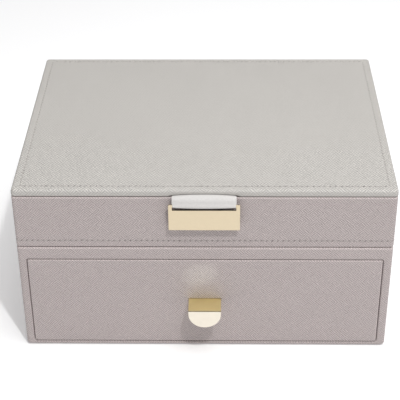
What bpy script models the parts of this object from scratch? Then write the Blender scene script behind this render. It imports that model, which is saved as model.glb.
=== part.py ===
"""Two-tier jewelry box: a lidded tray that stacks on a drawer tier.

Metres, +Z up. The box stands on the plane z = 0 with its centre on the Z axis and its front facing -Y.
Every wall is built as the real one is: leatherette outside, a glue line, board, a glue line, lining.
"""
import math

import bmesh
import bpy
from mathutils import Vector

# Whole box, over the leatherette
BOX_WIDTH = 0.250
BOX_DEPTH = 0.190
CORNER_RADIUS = 0.0025
LOWER_TIER_HEIGHT = 0.0831
TRAY_HEIGHT = 0.0392
LID_THICKNESS = 0.0049
TIER_GAP = 0.0004

# Layers of a wall, from the outside in
SKIN = 0.0007
GLUE = 0.00025
BOARD = 0.0032
LINING = 0.0010

# Edges of the leatherette
TURN_UNDER = 0.0048
RIM_RADIUS = 0.0008
LOWER_EDGE_RADIUS = 0.0020
INNER_CORNER_RADIUS = 0.0005
SMALLEST_RADIUS = 0.0001

# Lower tier
FELT_THICKNESS = 0.0012
BOTTOM_BOARD = 0.0016
RAIL_HEIGHT = 0.0095
DECK_BOARD = 0.0030

# Drawer
DRAWER_GAP = 0.0008
DRAWER_TOP_CORNER_RADIUS = 0.0010
DRAWER_BOTTOM_CORNER_RADIUS = 0.0020
DRAWER_FRONT_BOARD = 0.0035
DRAWER_SIDE = 0.0030
DRAWER_SIDE_DROP = 0.01185
DRAWER_FLOOR = 0.0020
DRAWER_SIDE_CLEARANCE = 0.0006
DRAWER_RUN_CLEARANCE = 0.0004
DRAWER_BACK_CLEARANCE = 0.0030

# Drawer pull: one brass strip, bent twice
PULL_WIDTH = 0.0220
PULL_THICKNESS = 0.0015
PULL_REACH = 0.0143
PULL_DROP = 0.0139
PULL_LEAF = 0.0135
PULL_BEND_RADIUS = 0.0006
PULL_POCKET_CLEARANCE = 0.0003
PULL_HEIGHT_SHARE = 0.5385
RIVET_RADIUS = 0.0010
RIVET_HEAD_RADIUS = 0.0019
RIVET_LENGTH = 0.0026
RIVET_SPACING = 0.0120

# Upper tray
TRAY_FLOOR_BOARD = 0.0025
RIM_LIP = 0.0027
PLINTH_SIDE_CLEARANCE = 0.0006
PLINTH_DROP_CLEARANCE = 0.0006
PLINTH_FELT = 0.0008
PLINTH_CORNER_RADIUS = 0.0020

# Dividers: card covered in velvet, half-lapped where two cross
DIVIDER = 0.0026
DIVIDER_CLEARANCE = 0.0003
TRAY_DIVIDER_HEADROOM = 0.0013
DRAWER_DIVIDER_DROP = 0.0085
BRACELET_BAY_DEPTH = 0.0520

# Ring rolls
ROLL_COUNT = 5
ROLL_WIDTH = 0.0139
ROLL_GAP = 0.0005
RING_HEADROOM = 0.0063
ROLL_END_ROUNDING = 0.0030

# Lid
LID_TOP_RADIUS = 0.0020
LINER_BOARD = 0.0012
PAD_SIDE_CLEARANCE = 0.0012
PAD_THICKNESS = 0.0016
PAD_CROWN = 0.0010

# Hinges: two small butt hinges let into the back of rim and lid
HINGE_LENGTH = 0.0280
HINGE_CENTRE_SHARE = 0.31
LEAF_THICKNESS = 0.0008
LEAF_REACH = 0.0054
KNUCKLE_RADIUS = 0.0015
KNUCKLE_GAP = 0.0003
KNUCKLE_SHARE = 0.26
PIN_RADIUS = 0.0006
PIN_CLEARANCE = 0.0001
HINGE_SETBACK = 0.0006
MORTISE_CLEARANCE = 0.0003

# Lid pull: webbing loop, its sewn tail, and the slotted plate that hangs in it
STRAP_WIDTH = 0.0408
STRAP_PLY = 0.0008
STRAP_PLY_GAP = 0.0001
TAIL_LENGTH = 0.0130
TAIL_LIFT = 0.00015
LOOP_PIVOT_REACH = 0.0010
LOOP_BEND_RADIUS = 0.0030
LOOP_NECK = 0.00016
LOOP_CLEARANCE = 0.0003
PLATE_CHEEK = 0.00255
PLATE_HEIGHT = 0.0194
PLATE_THICKNESS = 0.0012
PLATE_BAR_HEIGHT = 0.0016
PLATE_SLOT_HEIGHT = 0.0024
PLATE_CORNER_RADIUS = 0.0005

# How finely round forms are drawn
CORNER_STEPS = 4
ROUND_STEPS = 24
CUT_OVERRUN = 0.0020

# Sizes and heights that follow
HALF_WIDTH = BOX_WIDTH / 2
HALF_DEPTH = BOX_DEPTH / 2
BOARD_INSET = SKIN + GLUE
BOARD_INNER = BOARD_INSET + BOARD
LINING_INSET = BOARD_INNER + GLUE
RIM_WIDTH = LINING_INSET + SKIN
LINING_INNER = LINING_INSET + LINING

LOWER_BASE = FELT_THICKNESS - SKIN
LOWER_TOP = LOWER_BASE + LOWER_TIER_HEIGHT
TRAY_BASE = LOWER_TOP + TIER_GAP
TRAY_TOP = TRAY_BASE + TRAY_HEIGHT
LID_BASE = TRAY_TOP + TIER_GAP
LID_TOP = LID_BASE + LID_THICKNESS

OPENING_HALF_WIDTH = HALF_WIDTH - LINING_INNER
BAY_FLOOR = LOWER_BASE + BOARD_INSET + BOTTOM_BOARD
BAY_TOP = LOWER_TOP - RAIL_HEIGHT
DECK_TOP = BAY_TOP + DECK_BOARD
DECK_CLOTH_TOP = DECK_TOP + GLUE + LINING

FRONT_HALF_WIDTH = OPENING_HALF_WIDTH - DRAWER_GAP
FRONT_LOW = BAY_FLOOR + DRAWER_GAP
FRONT_HIGH = BAY_TOP - DRAWER_GAP
FRONT_BOARD_BACK = -HALF_DEPTH + BOARD_INSET + DRAWER_FRONT_BOARD
FACING_BACK = FRONT_BOARD_BACK + GLUE + LINING
DRAWER_HALF_WIDTH = OPENING_HALF_WIDTH - DRAWER_SIDE_CLEARANCE
DRAWER_LOW = BAY_FLOOR + DRAWER_RUN_CLEARANCE
DRAWER_FLOOR_TOP = DRAWER_LOW + DRAWER_FLOOR
DRAWER_SIDE_TOP = FRONT_HIGH - DRAWER_SIDE_DROP
DRAWER_INSIDE_FLOOR = DRAWER_FLOOR_TOP + GLUE + LINING + GLUE
DRAWER_DIVIDER_HEIGHT = DRAWER_SIDE_TOP - DRAWER_DIVIDER_DROP - DRAWER_INSIDE_FLOOR
DRAWER_FRONT_END = FACING_BACK + GLUE
DRAWER_BACK_END = HALF_DEPTH - LINING_INNER - DRAWER_BACK_CLEARANCE
PULL_TOP = FRONT_LOW + (FRONT_HIGH - FRONT_LOW) * PULL_HEIGHT_SHARE

TRAY_FLOOR_LOW = TRAY_BASE + BOARD_INSET
TRAY_FLOOR_TOP = TRAY_FLOOR_LOW + TRAY_FLOOR_BOARD
TRAY_LINING_TOP = TRAY_TOP - RIM_LIP - GLUE
TRAY_INSIDE_FLOOR = TRAY_FLOOR_TOP + GLUE + LINING + GLUE
LINER_HIGH = LID_BASE + BOARD_INSET - GLUE
PAD_HIGH = LINER_HIGH - LINER_BOARD - GLUE
PAD_LOW = PAD_HIGH - PAD_THICKNESS - PAD_CROWN
TRAY_DIVIDER_HEIGHT = PAD_LOW - TRAY_DIVIDER_HEADROOM - TRAY_INSIDE_FLOOR
ROLL_HEIGHT = PAD_LOW - RING_HEADROOM - TRAY_INSIDE_FLOOR
TRAY_HALF_INSIDE = HALF_WIDTH - LINING_INNER
TRAY_HALF_INSIDE_DEPTH = HALF_DEPTH - LINING_INNER
ROLL_BAY_WIDTH = ROLL_COUNT * (ROLL_WIDTH + ROLL_GAP) + ROLL_GAP
RING_DIVIDER_LEFT = -TRAY_HALF_INSIDE + ROLL_BAY_WIDTH
RING_DIVIDER_RIGHT = RING_DIVIDER_LEFT + DIVIDER

HINGE_AXIS = Vector((0, HALF_DEPTH + HINGE_SETBACK, TRAY_TOP + TIER_GAP / 2))
STRAP_THICKNESS = 2 * STRAP_PLY + STRAP_PLY_GAP
TAIL_LOW = LID_BASE + TAIL_LIFT
LOOP_AXIS = Vector((0, -HALF_DEPTH - LOOP_PIVOT_REACH, TAIL_LOW + STRAP_THICKNESS / 2))
EYE_BORE = math.hypot(PLATE_BAR_HEIGHT, PLATE_THICKNESS) / 2 + LOOP_CLEARANCE
EYE_RADIUS = EYE_BORE + STRAP_PLY
PLATE_DROP = LOOP_BEND_RADIUS + LOOP_NECK + EYE_RADIUS
PLATE_AXIS = Vector((0, LOOP_AXIS.y - LOOP_BEND_RADIUS, LOOP_AXIS.z - PLATE_DROP))
PLATE_SLOT_WIDTH = STRAP_WIDTH + 2 * LOOP_CLEARANCE
PLATE_WIDTH = PLATE_SLOT_WIDTH + 2 * PLATE_CHEEK


def make_finish(name, colour, roughness, metallic=0.0):
    """A plain material for one kind of stuff."""
    finish = bpy.data.materials.new(name)
    finish.use_nodes = True
    shader = finish.node_tree.nodes["Principled BSDF"]
    shader.inputs["Base Color"].default_value = (*colour, 1.0)
    shader.inputs["Roughness"].default_value = roughness
    shader.inputs["Metallic"].default_value = metallic
    finish.diffuse_color = (*colour, 1.0)
    return finish


def clear_scene():
    """Start from nothing."""
    for old in list(bpy.data.objects):
        bpy.data.objects.remove(old, do_unlink=True)


def place_axis(name, location, parent=None):
    """An empty on a joint's axis, which carries the pieces of one moving body."""
    axis = bpy.data.objects.new(name, None)
    axis.empty_display_size = SKIN
    bpy.context.collection.objects.link(axis)
    axis["world"] = Vector(location)
    axis.location = Vector(location)
    if parent is not None:
        axis.parent = parent
        axis.location = Vector(location) - Vector(parent["world"])
    return axis


def add_piece(name, mesh_data, finish, parent, origin=(0, 0, 0)):
    """Turn a bmesh drawn about origin into a named object under its body's empty."""
    bmesh.ops.recalc_face_normals(mesh_data, faces=mesh_data.faces)
    mesh = bpy.data.meshes.new(name)
    mesh_data.to_mesh(mesh)
    mesh_data.free()
    piece = bpy.data.objects.new(name, mesh)
    bpy.context.collection.objects.link(piece)
    piece.parent = parent
    piece.location = Vector(origin) - Vector(parent["world"])
    if finish is not None:
        mesh.materials.append(finish)
    return piece


def hide_cutter(piece):
    """Mark a shape that only cuts or joins others."""
    piece.hide_render = True
    piece.display_type = "WIRE"
    return piece


def combine(piece, tool, operation="DIFFERENCE"):
    """Cut a tool out of a piece, or join it on."""
    step = piece.modifiers.new(tool.name, "BOOLEAN")
    step.operation = operation
    step.solver = "EXACT"
    step.object = tool


def shade_round(piece, sharp_degrees=35):
    """Smooth shading that keeps real edges."""
    piece.data.shade_smooth()
    piece.data.set_sharp_from_angle(angle=math.radians(sharp_degrees))


def rounded_rectangle(half_u, half_v, radii, steps=CORNER_STEPS):
    """Corner arcs of a rectangle centred on zero; radii run from (+u, +v) round by the left."""
    points = []
    signs = ((1, 1), (-1, 1), (-1, -1), (1, -1))
    for turn, (sign_u, sign_v) in enumerate(signs):
        radius = max(radii[turn], SMALLEST_RADIUS)
        centre_u = sign_u * (half_u - radius)
        centre_v = sign_v * (half_v - radius)
        for step in range(steps + 1):
            angle = (turn + step / steps) * math.pi / 2
            points.append((centre_u + radius * math.cos(angle), centre_v + radius * math.sin(angle)))
    return points


def arc(centre, radius, start_degrees, end_degrees, steps=CORNER_STEPS):
    """Points on an arc, both ends included."""
    points = []
    for step in range(steps + 1):
        angle = math.radians(start_degrees + (end_degrees - start_degrees) * step / steps)
        points.append((centre[0] + radius * math.cos(angle), centre[1] + radius * math.sin(angle)))
    return points


def loft(rings, closed=False):
    """Skin a run of equal rings of points; closed joins the last to the first, else the ends are capped."""
    built = bmesh.new()
    rows = [[built.verts.new(point) for point in ring] for ring in rings]
    pairs = list(zip(rows, rows[1:]))
    if closed:
        pairs.append((rows[-1], rows[0]))
    else:
        built.faces.new(rows[0])
        built.faces.new(rows[-1])
    for low, high in pairs:
        for place in range(len(low)):
            following = (place + 1) % len(low)
            built.faces.new((low[place], low[following], high[following], high[place]))
    return built


def plan_ring(half_x, half_y, radius, height, inset=0.0, least_radius=INNER_CORNER_RADIUS):
    """A level ring: a rounded rectangle drawn in by inset."""
    corner = max(radius - inset, least_radius)
    outline = rounded_rectangle(half_x - inset, half_y - inset, (corner,) * 4)
    return [(x, y, height) for x, y in outline]


def front_ring(half_x, half_z, radii, depth, inset=0.0):
    """An upright ring in the plane of the front: a rounded rectangle drawn in by inset."""
    corners = [max(radius - inset, SMALLEST_RADIUS) for radius in radii]
    outline = rounded_rectangle(half_x - inset, half_z - inset, corners)
    return [(x, depth, z) for x, z in outline]


def block(low, high):
    """A plain box between two corners, drawn about its own centre."""
    low = Vector(low)
    high = Vector(high)
    built = bmesh.new()
    bmesh.ops.create_cube(built, size=1)
    bmesh.ops.scale(built, vec=high - low, verts=built.verts)
    return built, (low + high) / 2


def round_edges(built, along, radius, corners):
    """Round those edges of a block that run along an axis, at corners given by the other axes' signs."""
    others = [axis for axis in range(3) if axis != along]
    chosen = []
    for edge in built.edges:
        first, second = (vert.co for vert in edge.verts)
        signs = tuple(math.copysign(1, first[axis]) for axis in others)
        if first[along] * second[along] < 0 and signs in corners:
            chosen.append(edge)
    bmesh.ops.bevel(built, geom=chosen, offset=max(radius, SMALLEST_RADIUS), segments=CORNER_STEPS,
                    profile=0.5, affect="EDGES")


def add_board(name, low, high, finish, parent, corners=(), along=2, radius=CORNER_RADIUS - BOARD_INSET):
    """A flat board between two corners, with some of its edges rounded: by default the box's uprights."""
    built, centre = block(low, high)
    if corners:
        round_edges(built, along, radius, corners)
    return add_piece(name, built, finish, parent, centre)


def add_cutter(name, low, high, parent):
    """A box that only cuts."""
    built, centre = block(low, high)
    return hide_cutter(add_piece(name, built, None, parent, centre))


def slab(half_x, half_y, radius, low, high, low_radius=0.0, high_radius=0.0):
    """A level plate with rounded corners, and rounded lower or upper edges where asked."""
    profile = [(0.0, low)]
    if low_radius > 0:
        profile = arc((low_radius, low + low_radius), low_radius, 270, 180)
    if high_radius > 0:
        profile += arc((high_radius, high - high_radius), high_radius, 180, 90)
    else:
        profile.append((0.0, high))
    return loft([plan_ring(half_x, half_y, radius, height, inset) for inset, height in profile])


def wrap_path(height, offset, base_radius, lip):
    """Section of a tier's leatherette as (inset, height): under the foot, up, over the rim and in."""
    path = [(TURN_UNDER, offset)]
    path += arc((base_radius, base_radius), max(base_radius - offset, SMALLEST_RADIUS), 270, 180)
    path += arc((RIM_RADIUS, height - RIM_RADIUS), RIM_RADIUS - offset, 180, 90)
    path += arc((RIM_WIDTH - RIM_RADIUS, height - RIM_RADIUS), RIM_RADIUS - offset, 90, 0)
    path.append((RIM_WIDTH - offset, height - lip))
    return path


def add_tier_wrap(name, base, height, base_radius, lip, finish, parent):
    """One tier's leatherette: a folded strip that runs round the four walls."""
    section = wrap_path(height, 0.0, base_radius, lip)
    section += reversed(wrap_path(height, SKIN, base_radius, lip))
    rings = [plan_ring(HALF_WIDTH, HALF_DEPTH, CORNER_RADIUS, level, inset) for inset, level in section]
    piece = add_piece(name, loft(rings, closed=True), finish, parent, (0, 0, base))
    shade_round(piece)
    return piece


def open_box(half_x, half_y, radius, wall, floor, height):
    """A thin box, open at the top, standing on z = 0."""
    outside = [(0.0, 0.0), (0.0, height)]
    inside = [(wall, height), (wall, floor)]
    rings = [plan_ring(half_x, half_y, radius, level, inset) for inset, level in outside + inside]
    return loft(rings)


def notched_outline(length, height, notches, from_top):
    """Outline of a divider, (along, up), with half-height notches centred on the given places."""
    notch_half = DIVIDER / 2 + DIVIDER_CLEARANCE
    notch_end = height / 2 + DIVIDER_CLEARANCE / 2
    near = 0.0
    far = notch_end
    if from_top:
        near = height
        far = height - notch_end
    edge = [(-length / 2, near)]
    for place in sorted(notches):
        edge += [(place - notch_half, near), (place - notch_half, far)]
        edge += [(place + notch_half, far), (place + notch_half, near)]
    edge += [(length / 2, near), (length / 2, height - near), (-length / 2, height - near)]
    return edge


def add_divider(name, centre, length, height, along_x, finish, parent, notches=(), from_top=True):
    """A divider board standing on centre, notched for the boards that cross it."""
    outline = notched_outline(length, height, notches, from_top)
    rings = []
    for side in (-DIVIDER / 2, DIVIDER / 2):
        if along_x:
            rings.append([(along, side, up) for along, up in outline])
        else:
            rings.append([(side, along, up) for along, up in outline])
    return add_piece(name, loft(rings), finish, parent, centre)


def turned(radius, length, steps=ROUND_STEPS):
    """A rod along X, centred on zero."""
    circle = [(radius * math.cos(math.tau * step / steps), radius * math.sin(math.tau * step / steps))
              for step in range(steps)]
    return loft([[(end * length / 2, y, z) for y, z in circle] for end in (-1, 1)])


def turned_profile(profile, steps=ROUND_STEPS):
    """A solid turned about a line along Y, from a run of (radius, y)."""
    return loft([[(radius * math.cos(math.tau * step / steps), y, radius * math.sin(math.tau * step / steps))
                  for step in range(steps)] for radius, y in profile])


def build_lower_tier(finishes, body):
    """The drawer tier: bottom board, walls, rail and stiles, deck, linings and leatherette."""
    board = finishes["board"]
    velvet = finishes["velvet"]
    front_back = -HALF_DEPTH + BOARD_INNER
    back_front = HALF_DEPTH - BOARD_INNER
    wall_low = BAY_FLOOR + GLUE
    wall_high = LOWER_TOP - BOARD_INSET
    outer_x = HALF_WIDTH - BOARD_INSET
    outer_y = HALF_DEPTH - BOARD_INSET
    inner_x = HALF_WIDTH - BOARD_INNER

    felt_inset = TURN_UNDER + GLUE
    felt = slab(HALF_WIDTH - felt_inset, HALF_DEPTH - felt_inset, CORNER_RADIUS, 0.0, FELT_THICKNESS)
    add_piece("felt_base", felt, finishes["felt"], body)

    edge_radius = min(LOWER_EDGE_RADIUS - BOARD_INSET, BOTTOM_BOARD / 2)
    bottom = slab(outer_x, outer_y, CORNER_RADIUS - BOARD_INSET, 0.0, BOTTOM_BOARD, low_radius=edge_radius)
    add_piece("lower_bottom_board", bottom, board, body, (0, 0, BAY_FLOOR - BOTTOM_BOARD))

    add_board("lower_back_board", (-outer_x, back_front, wall_low), (outer_x, outer_y, wall_high),
              board, body, corners=((-1, 1), (1, 1)))
    add_board("lower_top_rail", (-outer_x, -outer_y, BAY_TOP), (outer_x, front_back, wall_high),
              board, body, corners=((-1, -1), (1, -1)))
    for side, sign in (("left", -1), ("right", 1)):
        ends = sorted((sign * outer_x, sign * inner_x))
        add_board(f"lower_{side}_board", (ends[0], front_back + GLUE, wall_low),
                  (ends[1], back_front - GLUE, wall_high), board, body)
        ends = sorted((sign * outer_x, sign * OPENING_HALF_WIDTH))
        add_board(f"lower_{side}_stile", (ends[0], -outer_y, wall_low),
                  (ends[1], front_back, BAY_TOP - GLUE), board, body, corners=((sign, -1),))

    deck_x = inner_x - GLUE
    add_board("deck_board", (-deck_x, front_back + GLUE, BAY_TOP), (deck_x, back_front - GLUE, DECK_TOP),
              board, body)
    cloth = slab(deck_x, back_front - GLUE, INNER_CORNER_RADIUS, DECK_TOP + GLUE, DECK_CLOTH_TOP)
    add_piece("deck_cloth", cloth, velvet, body)

    outer = HALF_WIDTH - LINING_INSET
    inner = OPENING_HALF_WIDTH
    back_outer = HALF_DEPTH - LINING_INSET
    back_inner = HALF_DEPTH - LINING_INNER
    front_end = front_back + GLUE
    plan = [(-outer, front_end), (-outer, back_outer), (outer, back_outer), (outer, front_end),
            (inner, front_end), (inner, back_inner), (-inner, back_inner), (-inner, front_end)]
    lining = loft([[(x, y, level) for x, y in plan] for level in (wall_low, BAY_TOP - GLUE)])
    add_piece("bay_lining", lining, velvet, body)

    lip = LOWER_TOP - DECK_CLOTH_TOP - GLUE
    wrap = add_tier_wrap("lower_wrap", LOWER_BASE, LOWER_TIER_HEIGHT, LOWER_EDGE_RADIUS, lip,
                         finishes["leatherette"], body)
    half_height = (BAY_TOP - BAY_FLOOR) / 2
    radii = [radius + DRAWER_GAP for radius in front_radii()]
    opening = [front_ring(OPENING_HALF_WIDTH, half_height, radii, depth)
               for depth in (-HALF_DEPTH - CUT_OVERRUN, front_back)]
    cutter = add_piece("opening_cutter", loft(opening), None, body, (0, 0, BAY_FLOOR + half_height))
    combine(wrap, hide_cutter(cutter))


def front_radii():
    """Corner radii of the drawer front, from upper right round by the left."""
    top = DRAWER_TOP_CORNER_RADIUS
    bottom = DRAWER_BOTTOM_CORNER_RADIUS
    return [top, top, bottom, bottom]


def build_drawer(finishes, body):
    """The drawer: wrapped front, velvet-covered box, lining, dividers and pull."""
    velvet = finishes["velvet"]
    half_height = (FRONT_HIGH - FRONT_LOW) / 2
    middle = FRONT_LOW + half_height
    radii = front_radii()

    outside = [(0.0, FRONT_BOARD_BACK), *((inset, depth) for inset, depth in
               arc((RIM_RADIUS, RIM_RADIUS - HALF_DEPTH), RIM_RADIUS, 180, 270))]
    inside = [(SKIN, SKIN - HALF_DEPTH), (SKIN, FRONT_BOARD_BACK)]
    rings = [front_ring(FRONT_HALF_WIDTH, half_height, radii, depth, inset)
             for inset, depth in reversed(outside)]
    rings += [front_ring(FRONT_HALF_WIDTH, half_height, radii, depth, inset)
              for inset, depth in reversed(inside)]
    wrap = add_piece("drawer_front_wrap", loft(rings), finishes["leatherette"], body, (0, 0, middle))

    rings = [front_ring(FRONT_HALF_WIDTH, half_height, radii, depth, BOARD_INSET)
             for depth in (BOARD_INSET - HALF_DEPTH, FRONT_BOARD_BACK)]
    front = add_piece("drawer_front_board", loft(rings), finishes["board"], body, (0, 0, middle))

    rings = [front_ring(FRONT_HALF_WIDTH, half_height, radii, depth, SKIN)
             for depth in (FRONT_BOARD_BACK + GLUE, FACING_BACK)]
    add_piece("drawer_front_facing", loft(rings), velvet, body, (0, 0, middle))

    side_inner = DRAWER_HALF_WIDTH - DRAWER_SIDE
    back_front = DRAWER_BACK_END - DRAWER_SIDE
    opening_radius = DRAWER_BOTTOM_CORNER_RADIUS + DRAWER_GAP
    edge_radius = min(opening_radius - DRAWER_SIDE_CLEARANCE, DRAWER_SIDE - SMALLEST_RADIUS)
    for side, sign in (("left", -1), ("right", 1)):
        ends = sorted((sign * DRAWER_HALF_WIDTH, sign * side_inner))
        add_board(f"drawer_{side}_side", (ends[0], DRAWER_FRONT_END, DRAWER_LOW),
                  (ends[1], back_front - GLUE, DRAWER_SIDE_TOP), velvet, body,
                  corners=((sign, -1),), along=1, radius=edge_radius)
    add_board("drawer_back", (-DRAWER_HALF_WIDTH, back_front, DRAWER_LOW),
              (DRAWER_HALF_WIDTH, DRAWER_BACK_END, DRAWER_SIDE_TOP), velvet, body,
              corners=((-1, -1), (1, -1)), along=1, radius=edge_radius)
    lining_half = side_inner - GLUE
    lining_back = back_front - GLUE
    add_board("drawer_floor", (-lining_half, DRAWER_FRONT_END, DRAWER_LOW),
              (lining_half, lining_back, DRAWER_FLOOR_TOP), velvet, body)

    centre_y = (DRAWER_FRONT_END + lining_back) / 2
    half_y = (lining_back - DRAWER_FRONT_END) / 2
    lining_low = DRAWER_FLOOR_TOP + GLUE
    lining = open_box(lining_half, half_y, INNER_CORNER_RADIUS, LINING, LINING, DRAWER_SIDE_TOP - lining_low)
    add_piece("drawer_lining", lining, velvet, body, (0, centre_y, lining_low))

    length = 2 * (lining_half - LINING - DIVIDER_CLEARANCE)
    depth = 2 * (half_y - LINING - DIVIDER_CLEARANCE)
    crossings = (-length / 6, length / 6)
    add_divider("drawer_long_divider", (0, centre_y, DRAWER_INSIDE_FLOOR), length,
                DRAWER_DIVIDER_HEIGHT, True, velvet, body, notches=crossings, from_top=True)
    for number, place in enumerate(crossings, start=1):
        add_divider(f"drawer_cross_divider_{number}", (place, centre_y, DRAWER_INSIDE_FLOOR), depth,
                    DRAWER_DIVIDER_HEIGHT, False, velvet, body, notches=(0.0,), from_top=False)

    build_drawer_pull(finishes, body, front, wrap)


def bent_strip(corners, thickness, radius):
    """Centre line of a strip bent at the inner corners, as (point, unit direction) in the YZ plane."""
    mid_radius = radius + thickness / 2
    stations = [(Vector(corners[0]), (Vector(corners[1]) - Vector(corners[0])).normalized())]
    for before, corner, after in zip(corners, corners[1:], corners[2:]):
        into = (Vector(corner) - Vector(before)).normalized()
        out = (Vector(after) - Vector(corner)).normalized()
        centre = Vector(corner) - into * mid_radius + out * mid_radius
        for step in range(CORNER_STEPS + 1):
            turn = math.pi / 2 * step / CORNER_STEPS
            direction = into * math.cos(turn) + out * math.sin(turn)
            point = centre + (into * math.sin(turn) - out * math.cos(turn)) * mid_radius
            stations.append((point, direction))
    last = (Vector(corners[-1]) - Vector(corners[-2])).normalized()
    stations.append((Vector(corners[-1]), last))
    return stations


def build_drawer_pull(finishes, body, front, wrap):
    """The brass pull: leaf in a pocket behind the front, flange through a slot, half-disc face."""
    half_thick = PULL_THICKNESS / 2
    leaf_y = FRONT_BOARD_BACK - PULL_POCKET_CLEARANCE - half_thick
    face_y = -HALF_DEPTH - PULL_REACH + half_thick
    flange_z = PULL_TOP - half_thick
    disc_radius = PULL_WIDTH / 2
    disc_start = PULL_TOP - PULL_DROP + disc_radius
    corners = [(leaf_y, PULL_TOP + PULL_LEAF), (leaf_y, flange_z), (face_y, flange_z), (face_y, disc_start)]
    stations = [(point, direction, disc_radius)
                for point, direction in bent_strip(corners, PULL_THICKNESS, PULL_BEND_RADIUS)]
    down = stations[-1][1]
    disc_steps = 3 * CORNER_STEPS
    for step in range(1, disc_steps):
        turn = math.pi / 2 * step / disc_steps
        point = Vector((face_y, disc_start - disc_radius * math.sin(turn)))
        stations.append((point, down, disc_radius * math.cos(turn)))
    rings = []
    for point, direction, half in stations:
        across = Vector((-direction.y, direction.x)) * half_thick
        near = point - across
        far = point + across
        rings.append([(-half, near.x, near.y), (half, near.x, near.y),
                      (half, far.x, far.y), (-half, far.x, far.y)])
    origin = Vector((0, -HALF_DEPTH, flange_z))
    rings = [[Vector(corner) - origin for corner in ring] for ring in rings]
    pull = add_piece("drawer_pull", loft(rings), finishes["brass"], body, origin)

    pocket_half = disc_radius + PULL_POCKET_CLEARANCE
    slot_low = PULL_TOP - PULL_THICKNESS - PULL_POCKET_CLEARANCE
    past_back = FRONT_BOARD_BACK + CUT_OVERRUN
    slot = add_cutter("pull_slot_cutter", (-pocket_half, -HALF_DEPTH - CUT_OVERRUN, slot_low),
                      (pocket_half, past_back, PULL_TOP + PULL_POCKET_CLEARANCE), body)
    pocket = add_cutter("pull_pocket_cutter",
                        (-pocket_half, leaf_y - half_thick - PULL_POCKET_CLEARANCE, slot_low),
                        (pocket_half, past_back, PULL_TOP + PULL_LEAF + PULL_POCKET_CLEARANCE), body)
    combine(front, slot)
    combine(front, pocket)
    combine(wrap, slot)

    head_depth = RIVET_HEAD_RADIUS - RIVET_RADIUS
    leaf_back = leaf_y + half_thick
    rivet_z = PULL_TOP + PULL_LEAF / 2
    shape = [(RIVET_HEAD_RADIUS, 0.0), (RIVET_RADIUS, -head_depth), (RIVET_RADIUS, -RIVET_LENGTH)]
    hole = [(radius + PULL_POCKET_CLEARANCE, y) for radius, y in shape]
    hole[0] = (hole[0][0] + CUT_OVERRUN, CUT_OVERRUN)
    hole[-1] = (hole[-1][0], -RIVET_LENGTH - PULL_POCKET_CLEARANCE)
    for side, sign in (("left", -1), ("right", 1)):
        centre = (sign * RIVET_SPACING / 2, leaf_back, rivet_z)
        rivet = add_piece(f"pull_rivet_{side}", turned_profile(shape), finishes["brass"], body, centre)
        shade_round(rivet)
        cutter = add_piece(f"rivet_hole_cutter_{side}", turned_profile(hole), None, body, centre)
        hide_cutter(cutter)
        combine(pull, cutter)
        combine(front, cutter)


def build_tray(finishes, body):
    """The upper tray: boards, leatherette, lining, plinth, dividers and ring rolls."""
    board = finishes["board"]
    velvet = finishes["velvet"]
    outer_x = HALF_WIDTH - BOARD_INSET
    outer_y = HALF_DEPTH - BOARD_INSET
    inner_x = HALF_WIDTH - BOARD_INNER
    inner_y = HALF_DEPTH - BOARD_INNER
    wall_low = TRAY_FLOOR_TOP + GLUE
    wall_high = TRAY_TOP - BOARD_INSET

    edge_radius = min(max(RIM_RADIUS - BOARD_INSET, SMALLEST_RADIUS), TRAY_FLOOR_BOARD / 2)
    floor = slab(outer_x, outer_y, CORNER_RADIUS - BOARD_INSET, 0.0, TRAY_FLOOR_BOARD, low_radius=edge_radius)
    add_piece("tray_floor_board", floor, board, body, (0, 0, TRAY_FLOOR_LOW))
    add_board("tray_front_board", (-outer_x, -outer_y, wall_low), (outer_x, -inner_y, wall_high),
              board, body, corners=((-1, -1), (1, -1)))
    back = add_board("tray_back_board", (-outer_x, inner_y, wall_low), (outer_x, outer_y, wall_high),
                     board, body, corners=((-1, 1), (1, 1)))
    for side, sign in (("left", -1), ("right", 1)):
        ends = sorted((sign * outer_x, sign * inner_x))
        add_board(f"tray_{side}_board", (ends[0], -inner_y + GLUE, wall_low),
                  (ends[1], inner_y - GLUE, wall_high), board, body)

    wrap = add_tier_wrap("tray_wrap", TRAY_BASE, TRAY_HEIGHT, RIM_RADIUS, RIM_LIP,
                         finishes["leatherette"], body)

    lining_low = TRAY_FLOOR_TOP + GLUE
    lining = open_box(HALF_WIDTH - LINING_INSET, HALF_DEPTH - LINING_INSET, INNER_CORNER_RADIUS,
                      LINING, LINING, TRAY_LINING_TOP - lining_low)
    add_piece("tray_lining", lining, velvet, body, (0, 0, lining_low))

    plinth_inset = RIM_WIDTH + PLINTH_SIDE_CLEARANCE
    plinth_low = DECK_CLOTH_TOP + PLINTH_DROP_CLEARANCE + PLINTH_FELT + GLUE
    plinth_high = TRAY_FLOOR_LOW - GLUE
    plinth = slab(HALF_WIDTH - plinth_inset, HALF_DEPTH - plinth_inset, PLINTH_CORNER_RADIUS,
                  0.0, plinth_high - plinth_low)
    add_piece("tray_plinth", plinth, board, body, (0, 0, plinth_low))
    felt = slab(HALF_WIDTH - plinth_inset, HALF_DEPTH - plinth_inset, PLINTH_CORNER_RADIUS, 0.0, PLINTH_FELT,
                low_radius=PLINTH_FELT / 2)
    add_piece("tray_plinth_felt", felt, finishes["felt"], body, (0, 0, plinth_low - GLUE - PLINTH_FELT))

    build_tray_dividers(velvet, body)
    build_ring_rolls(finishes["velvet_roll"], body)
    return wrap, back


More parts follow.
